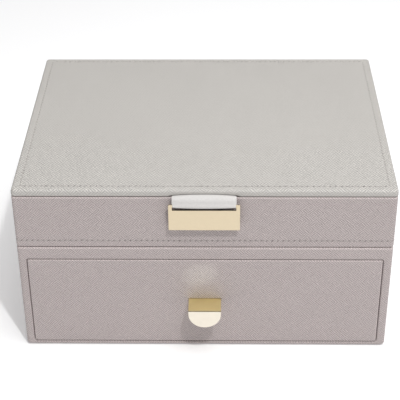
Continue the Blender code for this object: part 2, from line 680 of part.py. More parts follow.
def build_tray_dividers(velvet, body):
    """Ring bay on the left, a long bracelet bay in front, and six small bays behind it."""
    floor = TRAY_INSIDE_FLOOR
    half_inside = TRAY_HALF_INSIDE - DIVIDER_CLEARANCE
    half_depth = TRAY_HALF_INSIDE_DEPTH - DIVIDER_CLEARANCE
    add_divider("ring_bay_divider", ((RING_DIVIDER_LEFT + RING_DIVIDER_RIGHT) / 2, 0, floor),
                2 * half_depth, TRAY_DIVIDER_HEIGHT, False, velvet, body)
    left = RING_DIVIDER_RIGHT + DIVIDER_CLEARANCE
    length = half_inside - left
    centre_x = left + length / 2
    bracelet_y = -TRAY_HALF_INSIDE_DEPTH + BRACELET_BAY_DEPTH + DIVIDER / 2
    add_divider("bracelet_divider", (centre_x, bracelet_y, floor), length, TRAY_DIVIDER_HEIGHT, True,
                velvet, body)
    grid_front = bracelet_y + DIVIDER / 2 + DIVIDER_CLEARANCE
    grid_depth = half_depth - grid_front
    grid_centre = grid_front + grid_depth / 2
    crossings = (-length / 6, length / 6)
    add_divider("row_divider", (centre_x, grid_centre, floor), length, TRAY_DIVIDER_HEIGHT, True,
                velvet, body, notches=crossings, from_top=True)
    for number, place in enumerate(crossings, start=1):
        add_divider(f"cross_divider_{number}", (centre_x + place, grid_centre, floor), grid_depth,
                    TRAY_DIVIDER_HEIGHT, False, velvet, body, notches=(0.0,), from_top=False)


def build_ring_rolls(velvet, body):
    """Foam rolls side by side; a ring is held in the slit between two."""
    half = ROLL_WIDTH / 2
    arch = [(half * math.cos(turn), ROLL_HEIGHT - half + half * math.sin(turn))
            for turn in (math.pi * step / (2 * CORNER_STEPS) for step in range(2 * CORNER_STEPS + 1))]
    section = [(half, 0.0), *arch, (-half, 0.0)]
    half_length = TRAY_HALF_INSIDE_DEPTH - ROLL_GAP
    rings = []
    for end in (-1, 1):
        for step in range(CORNER_STEPS + 1):
            turn = math.pi / 2 * step / CORNER_STEPS
            if end > 0:
                turn = math.pi / 2 - turn
            drawn_in = ROLL_END_ROUNDING * (1 - math.sin(turn))
            along = end * (half_length - ROLL_END_ROUNDING * (1 - math.cos(turn)))
            narrow = (half - drawn_in) / half
            lower = (ROLL_HEIGHT - drawn_in) / ROLL_HEIGHT
            rings.append([(x * narrow, along, z * lower) for x, z in section])
    for number in range(1, ROLL_COUNT + 1):
        centre_x = -TRAY_HALF_INSIDE + ROLL_GAP + half + (number - 1) * (ROLL_WIDTH + ROLL_GAP)
        roll = add_piece(f"ring_roll_{number}", loft(rings), velvet, body,
                         (centre_x, 0, TRAY_INSIDE_FLOOR))
        shade_round(roll)


def build_lid(finishes, body):
    """The lid: board, leatherette, liner board, crowned pad and the loop's sewn tail."""
    base_radius = RIM_RADIUS
    outside = [(TURN_UNDER, 0.0), *arc((base_radius, base_radius), base_radius, 270, 180),
               *arc((LID_TOP_RADIUS, LID_THICKNESS - LID_TOP_RADIUS), LID_TOP_RADIUS, 180, 90)]
    inside = [(TURN_UNDER, SKIN), (SKIN, SKIN),
              *arc((LID_TOP_RADIUS, LID_THICKNESS - LID_TOP_RADIUS), LID_TOP_RADIUS - SKIN, 180, 90)]
    rings = [plan_ring(HALF_WIDTH, HALF_DEPTH, CORNER_RADIUS, level, inset)
             for inset, level in [*reversed(outside), *inside]]
    wrap = add_piece("lid_wrap", loft(rings), finishes["leatherette"], body, (0, 0, LID_BASE))
    shade_round(wrap)

    board_low = LID_BASE + BOARD_INSET
    board_high = LID_TOP - BOARD_INSET
    board = slab(HALF_WIDTH - BOARD_INSET, HALF_DEPTH - BOARD_INSET, CORNER_RADIUS - BOARD_INSET,
                 0.0, board_high - board_low, high_radius=LID_TOP_RADIUS - BOARD_INSET)
    lid_board = add_piece("lid_board", board, finishes["board"], body, (0, 0, board_low))

    liner_inset = LINING_INNER + PAD_SIDE_CLEARANCE
    liner = slab(HALF_WIDTH - liner_inset, HALF_DEPTH - liner_inset, CORNER_RADIUS, 0.0, LINER_BOARD)
    liner_board = add_piece("lid_liner_board", liner, finishes["board"], body,
                            (0, 0, LINER_HIGH - LINER_BOARD))

    levels = 2 * CORNER_STEPS
    reach = HALF_DEPTH - liner_inset - 2 * CORNER_RADIUS
    pad_rings = [plan_ring(HALF_WIDTH - liner_inset, HALF_DEPTH - liner_inset, CORNER_RADIUS, 0.0)]
    for level in range(levels + 1):
        share = level / levels
        drop = PAD_THICKNESS + PAD_CROWN * (1 - (1 - share) ** 2)
        pad_rings.append(plan_ring(HALF_WIDTH - liner_inset, HALF_DEPTH - liner_inset, CORNER_RADIUS,
                                   -drop, inset=reach * share ** 2))
    pad = add_piece("lid_pad", loft(pad_rings), finishes["velvet"], body, (0, 0, PAD_HIGH))
    shade_round(pad)

    tail_front = -HALF_DEPTH + GLUE
    add_board("pull_strap_tail", (-STRAP_WIDTH / 2, tail_front, TAIL_LOW),
              (STRAP_WIDTH / 2, tail_front + TAIL_LENGTH, TAIL_LOW + STRAP_THICKNESS),
              finishes["webbing"], body)
    notch_half = STRAP_WIDTH / 2 + LOOP_CLEARANCE
    notch = add_cutter("strap_notch_cutter",
                       (-notch_half, -HALF_DEPTH - CUT_OVERRUN, TAIL_LOW - LOOP_CLEARANCE),
                       (notch_half, tail_front + TAIL_LENGTH + LOOP_CLEARANCE,
                        TAIL_LOW + STRAP_THICKNESS + LOOP_CLEARANCE), body)
    for piece in (wrap, lid_board, liner_board):
        combine(piece, notch)
    return wrap, lid_board


def add_leaf(name, centre, up, knuckles, other_knuckles, finish, parent):
    """One hinge leaf: a plate flush with the rim or lid, its knuckles, and the bore through them."""
    flat = TIER_GAP / 2
    levels = sorted((up * flat, up * (flat + LEAF_THICKNESS)))
    plate, middle = block((-HINGE_LENGTH / 2, -LEAF_REACH, levels[0]), (HINGE_LENGTH / 2, 0.0, levels[1]))
    leaf = add_piece(name, plate, finish, parent, centre + middle)
    for number, (start, end) in enumerate(other_knuckles):
        low = (start - KNUCKLE_GAP, -KNUCKLE_RADIUS - KNUCKLE_GAP, -KNUCKLE_RADIUS - KNUCKLE_GAP)
        high = (end + KNUCKLE_GAP, KNUCKLE_RADIUS + KNUCKLE_GAP, KNUCKLE_RADIUS + KNUCKLE_GAP)
        combine(leaf, add_cutter(f"{name}_relief_cutter_{number}", centre + Vector(low),
                                 centre + Vector(high), parent))
    for number, (start, end) in enumerate(knuckles):
        barrel = add_piece(f"{name}_knuckle_tool_{number}", turned(KNUCKLE_RADIUS, end - start), None, parent,
                           centre + Vector(((start + end) / 2, 0, 0)))
        combine(leaf, hide_cutter(barrel), "UNION")
    bore = add_piece(f"{name}_bore_cutter", turned(PIN_RADIUS + PIN_CLEARANCE, HINGE_LENGTH + CUT_OVERRUN),
                     None, parent, centre)
    combine(leaf, hide_cutter(bore))
    return leaf


def build_hinges(finishes, tray_body, lid_body, tray_parts, lid_parts):
    """Two butt hinges: the outer knuckles and the pin stay with the tray, the middle one lifts the lid."""
    brass = finishes["brass"]
    half = HINGE_LENGTH / 2
    step = HINGE_LENGTH * KNUCKLE_SHARE
    tray_knuckles = ((-half, step - half), (half - step, half))
    lid_knuckles = ((step - half + KNUCKLE_GAP, half - step - KNUCKLE_GAP),)
    sweep = KNUCKLE_RADIUS + MORTISE_CLEARANCE
    leaf_depth = TIER_GAP / 2 + LEAF_THICKNESS + MORTISE_CLEARANCE
    for side, sign in (("left", -1), ("right", 1)):
        centre = HINGE_AXIS + Vector((sign * BOX_WIDTH * HINGE_CENTRE_SHARE, 0, 0))
        add_leaf(f"hinge_{side}_tray_leaf", centre, -1, tray_knuckles, lid_knuckles, brass, tray_body)
        add_leaf(f"hinge_{side}_lid_leaf", centre, 1, lid_knuckles, tray_knuckles, brass, lid_body)
        pin = add_piece(f"hinge_{side}_pin", turned(PIN_RADIUS, HINGE_LENGTH), brass, tray_body, centre)
        shade_round(pin)
        for up, parent, parts in ((-1, tray_body, tray_parts), (1, lid_body, lid_parts)):
            reach = half + MORTISE_CLEARANCE
            for kind, front, depth in (("leaf", LEAF_REACH + MORTISE_CLEARANCE, leaf_depth),
                                       ("barrel", sweep, sweep)):
                levels = sorted((-up * CUT_OVERRUN, up * depth))
                low = centre + Vector((-reach, -front, levels[0]))
                high = centre + Vector((reach, CUT_OVERRUN, levels[1]))
                cutter = add_cutter(f"mortise_{kind}_cutter_{side}_{up + 1}", low, high, parent)
                for piece in parts:
                    combine(piece, cutter)


def build_pull_loop(finishes, body):
    """The webbing loop, seen from the side: a neck that bends down from the lid and an eye for the plate."""
    half = STRAP_THICKNESS / 2
    bend_centre = Vector((LOOP_AXIS.y, LOOP_AXIS.z - LOOP_BEND_RADIUS))
    eye_centre = Vector((PLATE_AXIS.y, PLATE_AXIS.z))
    neck_angle = math.degrees(math.asin(half / EYE_RADIUS))
    outline = arc(bend_centre, LOOP_BEND_RADIUS + half, 90, 180)
    outline += arc(eye_centre, EYE_RADIUS, 90 + neck_angle, 450 - neck_angle, steps=ROUND_STEPS)
    outline += arc(bend_centre, LOOP_BEND_RADIUS - half, 180, 90)
    root = arc((LOOP_AXIS.y, LOOP_AXIS.z), half, -90, 90)
    outline += root[1:-1]
    origin = LOOP_AXIS
    rings = [[(side * STRAP_WIDTH / 2, y - origin.y, z - origin.z) for y, z in outline] for side in (-1, 1)]
    loop = add_piece("pull_loop", loft(rings), finishes["webbing"], body, origin)
    bore = add_piece("loop_eye_cutter", turned(EYE_BORE, STRAP_WIDTH + CUT_OVERRUN), None, body, PLATE_AXIS)
    combine(loop, hide_cutter(bore))
    shade_round(loop)


def build_pull_plate(finishes, body):
    """The slotted plate; the loop passes through its slot, round the bar above."""
    low = PLATE_AXIS.z + PLATE_BAR_HEIGHT / 2 - PLATE_HEIGHT
    middle = low + PLATE_HEIGHT / 2
    corners = (PLATE_CORNER_RADIUS,) * 4
    rings = [front_ring(PLATE_WIDTH / 2, PLATE_HEIGHT / 2, corners, side * PLATE_THICKNESS / 2)
             for side in (-1, 1)]
    plate = add_piece("pull_plate", loft(rings), finishes["brass"], body, (0, PLATE_AXIS.y, middle))
    slot_half = PLATE_SLOT_WIDTH / 2
    slot_high = PLATE_AXIS.z - PLATE_BAR_HEIGHT / 2
    slot = add_cutter("plate_slot_cutter",
                      (-slot_half, PLATE_AXIS.y - PLATE_THICKNESS, slot_high - PLATE_SLOT_HEIGHT),
                      (slot_half, PLATE_AXIS.y + PLATE_THICKNESS, slot_high), body)
    combine(plate, slot)


def main():
    """Build every piece under the empty of the body that carries it."""
    clear_scene()
    finishes = {
        "leatherette": make_finish("leatherette", (0.46, 0.41, 0.39), 0.55),
        "board": make_finish("board", (0.42, 0.36, 0.29), 0.85),
        "velvet": make_finish("velvet", (0.55, 0.52, 0.49), 0.95),
        "velvet_roll": make_finish("velvet_roll", (0.60, 0.57, 0.54), 0.95),
        "felt": make_finish("felt", (0.35, 0.32, 0.31), 0.95),
        "brass": make_finish("brass", (0.80, 0.67, 0.42), 0.25, metallic=1.0),
        "webbing": make_finish("webbing", (0.72, 0.71, 0.70), 0.85),
    }
    lower_case = place_axis("lower_case", (0, 0, 0))
    drawer = place_axis("drawer_slide_axis", (0, -HALF_DEPTH, BAY_FLOOR), lower_case)
    tray = place_axis("tray_lift_axis", (0, 0, TRAY_BASE), lower_case)
    lid = place_axis("lid_hinge_axis", HINGE_AXIS, tray)
    loop = place_axis("pull_loop_axis", LOOP_AXIS, lid)
    plate = place_axis("pull_plate_axis", PLATE_AXIS, loop)
    build_lower_tier(finishes, lower_case)
    build_drawer(finishes, drawer)
    tray_parts = build_tray(finishes, tray)
    lid_parts = build_lid(finishes, lid)
    build_hinges(finishes, tray, lid, tray_parts, lid_parts)
    build_pull_loop(finishes, loop)
    build_pull_plate(finishes, plate)


main()
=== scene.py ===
"""Looks of the two-tier jewelry box: leatherette, stitching, brass, webbing, velvet and a plain studio."""
import bisect
import math

import bmesh
import bpy
from mathutils import Matrix, Vector, noise


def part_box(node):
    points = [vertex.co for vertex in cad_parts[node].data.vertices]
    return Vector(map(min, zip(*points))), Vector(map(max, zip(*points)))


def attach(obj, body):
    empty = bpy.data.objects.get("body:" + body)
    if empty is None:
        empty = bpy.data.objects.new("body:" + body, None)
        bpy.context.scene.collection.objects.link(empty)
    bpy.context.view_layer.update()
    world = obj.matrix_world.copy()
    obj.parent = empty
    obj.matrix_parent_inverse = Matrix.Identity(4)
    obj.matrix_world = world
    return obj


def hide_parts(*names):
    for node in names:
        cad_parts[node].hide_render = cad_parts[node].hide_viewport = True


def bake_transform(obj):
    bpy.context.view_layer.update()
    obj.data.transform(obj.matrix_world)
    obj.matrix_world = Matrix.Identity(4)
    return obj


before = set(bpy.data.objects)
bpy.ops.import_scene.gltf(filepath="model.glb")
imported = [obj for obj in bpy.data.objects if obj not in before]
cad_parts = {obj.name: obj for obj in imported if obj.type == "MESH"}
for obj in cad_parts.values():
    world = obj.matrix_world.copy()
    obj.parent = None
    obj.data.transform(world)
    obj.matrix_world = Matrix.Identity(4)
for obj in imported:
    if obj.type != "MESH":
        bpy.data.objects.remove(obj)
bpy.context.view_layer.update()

TAIL_LOW, TAIL_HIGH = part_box("pull_strap_tail")
LOOP_LOW, LOOP_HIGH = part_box("pull_loop")
PLATE_LOW, PLATE_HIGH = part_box("pull_plate")
PULL_LOW, PULL_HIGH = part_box("drawer_pull")
LID_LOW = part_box("lid_wrap")[0]

# Folded leatherette; lengths are in metres all through, and HAIR is the smallest that counts
SKIN = 0.0007
CORNER_RADIUS = 0.0025
RIM_RADIUS = 0.0007
LOWER_RIM_RADIUS = 0.0010
FOOT_RADIUS = 0.0012
RIM_WIDTH = 0.00515
RIM_LIP = 0.0027
LOWER_EDGE_RADIUS = 0.0020
LID_TOP_RADIUS = 0.0020
TURN_UNDER = 0.0048
HAIR = 0.0001
CORNER_STEPS = 8
EDGE_STEPS = 7
CORNER_SIGNS = ((1, 1), (-1, 1), (-1, -1), (1, -1))

# Drawer opening and its turned-in edge
DRAWER_GAP = 0.0008
DRAWER_CORNER_RADII = (0.0010, 0.0010, 0.0020, 0.0020)
DRAWER_EDGE_RADIUS = 0.0010
TURN_IN_SEAM = 0.0008
TURN_IN_REACH = 0.0004
TURN_IN_THICKNESS = 0.00017
TURN_IN_DEPTH = 0.0039

# Stitching; the columns are the mesh's steps along a stitch, the rows its steps across the sewn band
STITCH_PITCH = 0.0036
LID_STITCH_INSET = 0.0055
TRAY_STITCH_HEIGHT = 0.0052
STITCH_CORNER_RADIUS = 0.0011
COLUMNS_PER_STITCH = 8
BAND_ROWS = (-1.0, -0.62, -0.42, -0.26, -0.12, 0.0, 0.12, 0.26, 0.42, 0.62, 1.0)
BAND_HALF_WIDTH = 0.0010
CHANNEL_DEPTH = 0.00004
CHANNEL_HALF_WIDTH = 0.00040
HOLE_DEPTH = 0.00050
HOLE_HALF_LENGTH = 0.00070
HOLE_HALF_WIDTH = 0.00042
HOLE_SLANT = 0.32
THREAD_RADIUS = 0.00020
THREAD_END_SHARE = 0.72
THREAD_SLANT = 0.00012
THREAD_RISE = 0.00006
THREAD_DIVE = 0.5
THREAD_SIDES = 6
THREAD_STEPS = 8

# Webbing strap, and the notch that it leaves the lid by; its weave is in millimetres
STRAP_PLY = 0.0008
STRAP_PLY_GAP = 0.0001
STRAP_EDGE_PLY = 0.00025
STRAP_EDGE_SHARE = 0.55
STRAP_CROWN_POWER = 2.4
STRAP_BAR_CLEARANCE = 0.00012
STRAP_NECK_HALF_WIDTH = 0.0209
STRAP_TAIL_HALF_WIDTH = 0.0205
STRAP_EYE_HALF_WIDTH = 0.0204
STRAP_BEND_RADIUS = 0.0030
STRAP_CLEARANCE = 0.00015
STRAP_FOLD = (0.38, 0.62)
STRAP_NECK_TURN = 172
STRAP_NECK_STEPS = 9
STRAP_BAR_TURNS = (55, -235)
STRAP_BAR_STEPS = 30
STRAP_STEP = 0.0004
STRAP_COLUMNS = 26
STRAP_SMOOTHING = 3
WEAVE_PITCHES = (0.62, 0.46)
ARCH_SHOULDER = 0.0022
ARCH_STEP = 0.0008
ARCH_MARGIN = 1.1

# Brass
PLATE_EDGE = 0.00026
PLATE_CORNER_RADIUS = 0.0005
PLATE_BAR_HEIGHT = 0.0016
PLATE_SLOT_HEIGHT = 0.0024
PLATE_CHEEK = 0.00255
PULL_THICKNESS = 0.0015
PULL_LEAF = 0.0135
PULL_FLANGE_TOP = PULL_HIGH.z - PULL_LEAF
PULL_EDGE = 0.00018
PULL_OUTER_RADIUS = 0.00035
PULL_INNER_RADIUS = 0.0001
PULL_BEND_STEPS = 8
PULL_DISC_STEPS = 30
SCREW_HEAD_RADIUS = 0.00125
SCREW_HEAD_RISE = 0.00003
SCREW_SLOT_WIDTH = 0.00030
SCREW_SLOT_DEPTH = 0.00032
SCREW_EDGE = 0.00012
SCREW_SPACING = 0.0150
SCREW_SETBACK = 0.0033
SCREW_STEPS = 24
SCREW_HALF_STEPS = 14

# Soft interior; the nap's waves run along a roll, round it and from roll to roll, and the pad's profile is
# (inset, drop below its top), up to where its crown starts
EDGE_SOFTENING = 0.0004
SOFTENING_STEPS = 3
SOFTENED_ANGLE = 40
ROLL_COUNT = 5
ROLL_STATIONS = 60
ROLL_SECTION_STEPS = 18
ROLL_LENGTH_SHARE = 0.985
ROLL_END_ROUNDING = 0.0034
ROLL_END_NARROWING = 0.9
ROLL_END_SINKING = 0.4
ROLL_FOOT_SHARE = 0.97
NAP_RISE = 0.00012
NAP_WAVES = (60, 1.5, 7.0)
PAD_PROFILE = ((SKIN, 0.0), (SKIN / 2, 0.0003), (0.0, 0.0008), (0.0003, 0.0014), (0.0012, 0.0019),
               (0.0030, 0.0021), (0.0048, 0.0019), (0.0062, 0.0012), (0.0074, 0.0018), (0.0094, 0.0022))
PAD_CROWN_STEPS = 8
PAD_CROWN_POWER = 1.5

# Shares by which a material's colour is darkened or lightened: the grain's contrast; painted shade in the stitch
# holes, weaker on the tray and along the lid's sides; the grain smoothed where the lid's leatherette is pulled
# over its edge; a painted highlight along rims and edges; painted shade on the strap in the plate's slot; painted
# shade in that slot's brass walls and a painted dark reflection on the pull's bends
GRAIN_CONTRAST = 0.34
SEWN_SHADE = 0.90
TRAY_SEAM_SHARE = 0.62
LID_SIDE_SEAM_SHARE = 0.4
LID_EDGE_PULL = 0.6
EDGE_HIGHLIGHT = 0.28
EDGE_REACH = 0.0006
STRAP_SLOT_SHADE = 0.97
BRASS_PAINTED_SHADE = 0.92

# Studio; the glow is the patch of light that the pull throws on the drawer front above it
BOX_MIDDLE = Vector((0.0, 0.0, 0.1))
KEY_AIM = Vector((0.0, -0.095, 0.06))
KEY_PLACE = KEY_AIM + Vector((0.44, -1.0, 1.85)).normalized() * 1.9
SOFT_BOXES = (("overhead_box", (0.2, -0.12, 1.1), BOX_MIDDLE, 1.0, 7.25),
              ("front_box", (0.5, -0.7, 1.5), BOX_MIDDLE, 0.9, 2.2),
              ("key_box", KEY_PLACE, KEY_AIM, 0.06, 13.5))
GLOW_AIM = Vector((-0.0030, -0.095, 0.0615))
GLOW_PLACE = GLOW_AIM + Vector((0.8, -1.0, 0.3)).normalized() * 0.3
GLOW_COLOUR = (0.86, 1.0, 0.86)
GLOW_WIDTH = 4.4
GLOW_POWER = 1.0
SKY_STRENGTH = 0.35
FLOOR_GLOW = 0.16
FLOOR_SIZE = 4.0

# Camera, from the photograph's perspective
CAMERA_PLACE = Vector((0.01114, -0.73205, 0.53699))
CAMERA_PITCH = 33.116
CAMERA_YAW = -1.241
CAMERA_ROLL = -0.572
CAMERA_LENS = 106.22
CAMERA_SENSOR = 36.0


# Materials

class Finish:
    """A material in the making: its methods add shader nodes and hand back their outputs."""

    def __init__(self, name, specular=0.5, **constants):
        """Start a material; the constants are the shader's own sockets, in lower case."""
        self.material = bpy.data.materials.new(name)
        self.material.use_nodes = True
        self.tree = self.material.node_tree
        self.shader = self.tree.nodes["Principled BSDF"].inputs
        self.shader["Specular IOR Level"].default_value = specular
        for key, value in constants.items():
            self.shader[key.replace("_", " ").title()].default_value = value

    def node(self, kind, inputs, output=0, **settings):
        """Output of a new node; each input is a value or another node's output."""
        node = self.tree.nodes.new(f"ShaderNode{kind}")
        for key, value in settings.items():
            setattr(node, key, value)
        for socket, value in inputs.items():
            if isinstance(value, bpy.types.NodeSocket):
                self.tree.links.new(value, node.inputs[socket])
            else:
                node.inputs[socket].default_value = value
        return node.outputs[output]

    def calc(self, operation, *operands):
        """One arithmetic step."""
        return self.node("Math", dict(enumerate(operands)), operation=operation)

    def vector(self, operation, *operands):
        """One step with vectors or colours."""
        return self.node("VectorMath", dict(enumerate(operands)), operation=operation)

    def scaled(self, vector, factor):
        """A vector or colour times a number."""
        return self.node("VectorMath", {0: vector, "Scale": factor}, operation="SCALE")

    def join(self, *parts):
        """A vector from its coordinates."""
        return self.node("CombineXYZ", dict(enumerate(parts)))

    def split(self, vector):
        """The three coordinates of a vector."""
        return self.node("SeparateXYZ", {0: vector}).node.outputs[:]

    def noise(self, vector, scale, detail=2.0, roughness=0.5):
        """Value of a noise at a vector."""
        return self.node("TexNoise", {"Vector": vector, "Scale": scale, "Detail": detail,
                                      "Roughness": roughness}, "Fac")

    def span(self, value, *limits):
        """A value moved from one span to another."""
        names = ("From Min", "From Max", "To Min", "To Max")
        return self.node("MapRange", {"Value": value, **dict(zip(names, limits))})

    def ramp(self, factor, stops):
        """A colour ramp from (position, colour) stops."""
        output = self.node("ValToRGB", {"Fac": factor})
        elements = output.node.color_ramp.elements
        while len(elements) < len(stops):
            elements.new(0.5)
        for element, (position, colour) in zip(elements, stops):
            element.position = position
            element.color = (*colour, 1.0)
        return output

    def mark(self, name):
        """A number that the mesh gives for each vertex, or 0."""
        return self.node("Attribute", {}, "Fac", attribute_name=name)

    def millimetres(self, mapped=False):
        """Surface coordinates in millimetres, from the grain map or from object space."""
        spot = self.node("UVMap", {}, uv_map="grain") if mapped else self.node("TexCoord", {}, "Object")
        return self.scaled(spot, 1000.0)

    def link(self, output, socket):
        """Feed one of the shader's sockets."""
        self.tree.links.new(output, self.shader[socket])

    def done(self, tone, height, distance, strength):
        """The finished material, once it has its colour and its bump."""
        self.link(tone, "Base Color")
        self.link(self.node("Bump", {"Height": height, "Distance": distance, "Strength": strength}), "Normal")
        return self.material


def tones(colour, *stops):
    """Ramp stops from (position, factor): shades of one colour."""
    return [(position, tuple(min(1.0, channel * factor) for channel in colour)) for position, factor in stops]


def leatherette_material(name, colour, contrast, pitch):
    """Cross-grained leatherette: fine ridges pressed in two diagonal directions, in patches."""
    finish = Finish(name, 0.35, roughness=0.52)
    calc = finish.calc
    spot = finish.millimetres(mapped=True)
    across, along, _ = finish.split(spot)
    wander = calc("MULTIPLY", finish.noise(spot, 0.30, 1.0), 5.0)
    rising, falling = (calc("MULTIPLY", calc(step, across, along), math.sqrt(0.5)) for step in ("ADD", "SUBTRACT"))
    hatches = []
    for near, far, step in ((rising, falling, 1.02 * pitch), (falling, rising, 0.98 * pitch)):
        ridge = calc("MULTIPLY", calc("SINE", calc("MULTIPLY_ADD", near, math.tau / step, wander)), 0.5)
        drawn = finish.join(calc("MULTIPLY", near, 0.85), calc("MULTIPLY", far, 0.42), 0.0)
        broken = finish.span(finish.noise(drawn, 1.0, 2.0, 0.6), 0.36, 0.60, 0.25, 1.0)
        hatches.append(calc("MULTIPLY", ridge, broken))
    patches = finish.span(finish.noise(spot, 0.22, 1.5), 0.44, 0.56, 0.12, 0.88)
    mixed = finish.node("Mix", {"Factor": patches, "A": hatches[0], "B": hatches[1]}, "Result",
                        data_type="FLOAT")
    pressed = calc("MULTIPLY", mixed, calc("SUBTRACT", 1.0, finish.mark("pulled")))
    height = calc("ADD", calc("MULTIPLY_ADD", finish.noise(spot, 2.2), 0.24, 0.38), pressed)
    swing = GRAIN_CONTRAST * contrast
    tone = finish.ramp(height, tones(colour, (0.1, 1 - swing), (0.5, 1.0), (0.9, 1 + swing)))
    cloud = finish.span(finish.noise(spot, 0.02), 0.3, 0.7, 0.99, 1.01)
    # Painted shade and highlight: the sunk mark paints shade into the stitch holes where it is positive, and a
    # highlight along rims and edges where it is negative
    shaded = calc("MULTIPLY", cloud, calc("MULTIPLY_ADD", finish.mark("sunk"), -SEWN_SHADE, 1.0))
    finish.link(finish.span(height, 0.0, 1.0, 0.60, 0.46), "Roughness")
    return finish.done(finish.scaled(tone, shaded), height, 0.00012, 0.8)


def mottled_material(name, colour, grain, shades, bump, specular, **constants):
    """A plain stuff of fibres or chips: grain is its noise, shades its darkest and lightest."""
    finish = Finish(name, specular, **constants)
    fibres = finish.noise(finish.millimetres(), *grain)
    tone = finish.ramp(fibres, tones(colour, (0.3, shades[0]), (0.7, shades[1])))
    return finish.done(tone, fibres, *bump)


def velvet_material(name, colour):
    """Short-pile velvet with a nap that lies this way and that."""
    finish = Finish(name, 0.15, roughness=0.9, sheen_weight=0.55, sheen_roughness=0.45,
                    sheen_tint=(0.93, 0.90, 0.88, 1.0))
    spot = finish.millimetres()
    nap = finish.calc("MULTIPLY", finish.noise(spot, 0.09, 3.0), 0.55)
    pile = finish.noise(spot, 3.2, 3.0, 0.7)
    level = finish.calc("MULTIPLY_ADD", pile, 0.45, nap)
    tone = finish.ramp(level, tones(colour, (0.3, 0.86), (0.55, 1.0), (0.75, 1.10)))
    return finish.done(tone, pile, 0.00018, 0.55)


def brass_material(name, colour, roughness, brush=0.0, level_colour=None, level_roughness=0.0):
    """Lacquered brass; brush is how strongly fine lines run along X.

    The mesh marks the parts that lie level, which take level_colour, a painted reflection, and level_roughness; it
    also marks painted shade in a slot's walls and a painted dark reflection on a bend's outside.
    """
    finish = Finish(name, roughness=roughness, metallic=1.0, coat_weight=0.25, coat_roughness=0.12)
    calc = finish.calc
    spot = finish.millimetres()
    lines = finish.noise(finish.vector("MULTIPLY", spot, (0.06, 5.0, 5.0)), 1.0, 3.0, 0.6)
    level = calc("MULTIPLY_ADD", lines, 0.6, calc("MULTIPLY", finish.noise(spot, 0.25, 3.0), 0.4))
    tone = finish.ramp(level, tones(colour, (0.3, 0.95), (0.7, 1.03)))
    rough = finish.span(level, 0.3, 0.7, roughness * 0.8, roughness * 1.25)
    # The level parts' colour is a painted reflection
    if level_colour:
        deep = finish.ramp(level, tones(level_colour, (0.3, 0.95), (0.7, 1.03)))
        lying = finish.mark("level")
        tone = finish.vector("ADD", tone, finish.scaled(finish.vector("SUBTRACT", deep, tone), lying))
        rough = calc("MULTIPLY_ADD", lying, level_roughness - roughness, rough)
    finish.link(rough, "Roughness")
    # Painted shade in a slot's walls and a painted dark reflection on a bend's outside
    left = calc("MULTIPLY_ADD", finish.mark("painted_shade"), -BRASS_PAINTED_SHADE, 1.0)
    return finish.done(finish.scaled(tone, left), lines, 0.00002, 0.15 + brush)


def webbing_material(colour):
    """Plain-woven ribbon webbing: fine warp along the strap, finer weft across it."""
    finish = Finish("webbing_weave", 0.35, roughness=0.7, sheen_weight=0.25, sheen_roughness=0.4)
    calc = finish.calc
    spot = finish.millimetres(mapped=True)
    warp, weft = (calc("SINE", calc("MULTIPLY", part, math.tau / pitch))
                  for part, pitch in zip(finish.split(spot), WEAVE_PITCHES))
    level = calc("MULTIPLY_ADD", calc("MULTIPLY", warp, weft), 0.22, finish.noise(spot, 0.8, 4.0, 0.65))
    tone = finish.ramp(level, tones(colour, (0.25, 0.90), (0.55, 1.0), (0.8, 1.04)))
    # Painted shade where the strap lies in the plate's slot
    left = calc("MULTIPLY_ADD", finish.mark("sunk"), -STRAP_SLOT_SHADE, 1.0)
    return finish.done(finish.scaled(tone, left), level, 0.00012, 0.6)


def make_materials():
    """Every finish, by the record's slot or by what it is for."""
    return {
        "leatherette": leatherette_material("leatherette_grain", (0.420, 0.368, 0.361), 1.08, 1.29),
        # The lid's leatherette is a lighter, greener lit copy of the tiers', with stronger and coarser grain:
        # painted light for the overhead light on the lid
        "lid_leatherette": leatherette_material("leatherette_grain_lid", (0.460, 0.442, 0.418), 1.5, 1.45),
        "thread": mottled_material(
            "thread_twist", (0.46, 0.43, 0.41), (5.0, 3.0), (0.86, 1.08), (0.00005, 0.6), 0.4, roughness=0.6),
        "velvet": velvet_material("velvet_lining", (0.46, 0.43, 0.41)),
        "velvet_roll": velvet_material("velvet_roll", (0.52, 0.49, 0.465)),
        "velvet_pad": velvet_material("velvet_pad", (0.49, 0.46, 0.44)),
        "felt": mottled_material(
            "felt_fibre", (0.20, 0.185, 0.18), (1.6, 6.0, 0.75), (0.7, 1.2), (0.0003, 0.7), 0.1,
            roughness=0.95, sheen_weight=0.3),
        "board": mottled_material(
            "fibreboard", (0.34, 0.28, 0.22), (0.9, 5.0, 0.7), (0.75, 1.15), (0.0001, 0.5), 0.2, roughness=0.85),
        "plate_brass": brass_material("plate_brass_satin", (0.648, 0.55, 0.392), 0.34, brush=0.35),
        # The pull's pale colour and its level flange's deep gold are painted reflections: the bright floor in its
        # face, the leatherette in its flange
        "pull_brass": brass_material(
            "pull_brass_polished", (0.738, 0.685, 0.586), 0.09, level_colour=(1.0, 0.84, 0.44),
            level_roughness=0.43),
        "hinge_brass": brass_material("hinge_brass_drawn", (0.72, 0.60, 0.38), 0.30, brush=0.2),
        "webbing": webbing_material((0.610, 0.592, 0.578)),
    }


# Mesh building

def frame_size(node):
    """Centre and half size of a CAD node, and the levels of its foot and top."""
    low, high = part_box(node)
    centre, half = (low + high) / 2, (high - low) / 2
    return centre, half, centre.z - half.z, centre.z + half.z


def smooth_share(value, start, end):
    """0 before start, 1 past end, and an easy curve between them."""
    share = min(max((value - start) / (end - start), 0.0), 1.0)
    return share * share * (3 - 2 * share)


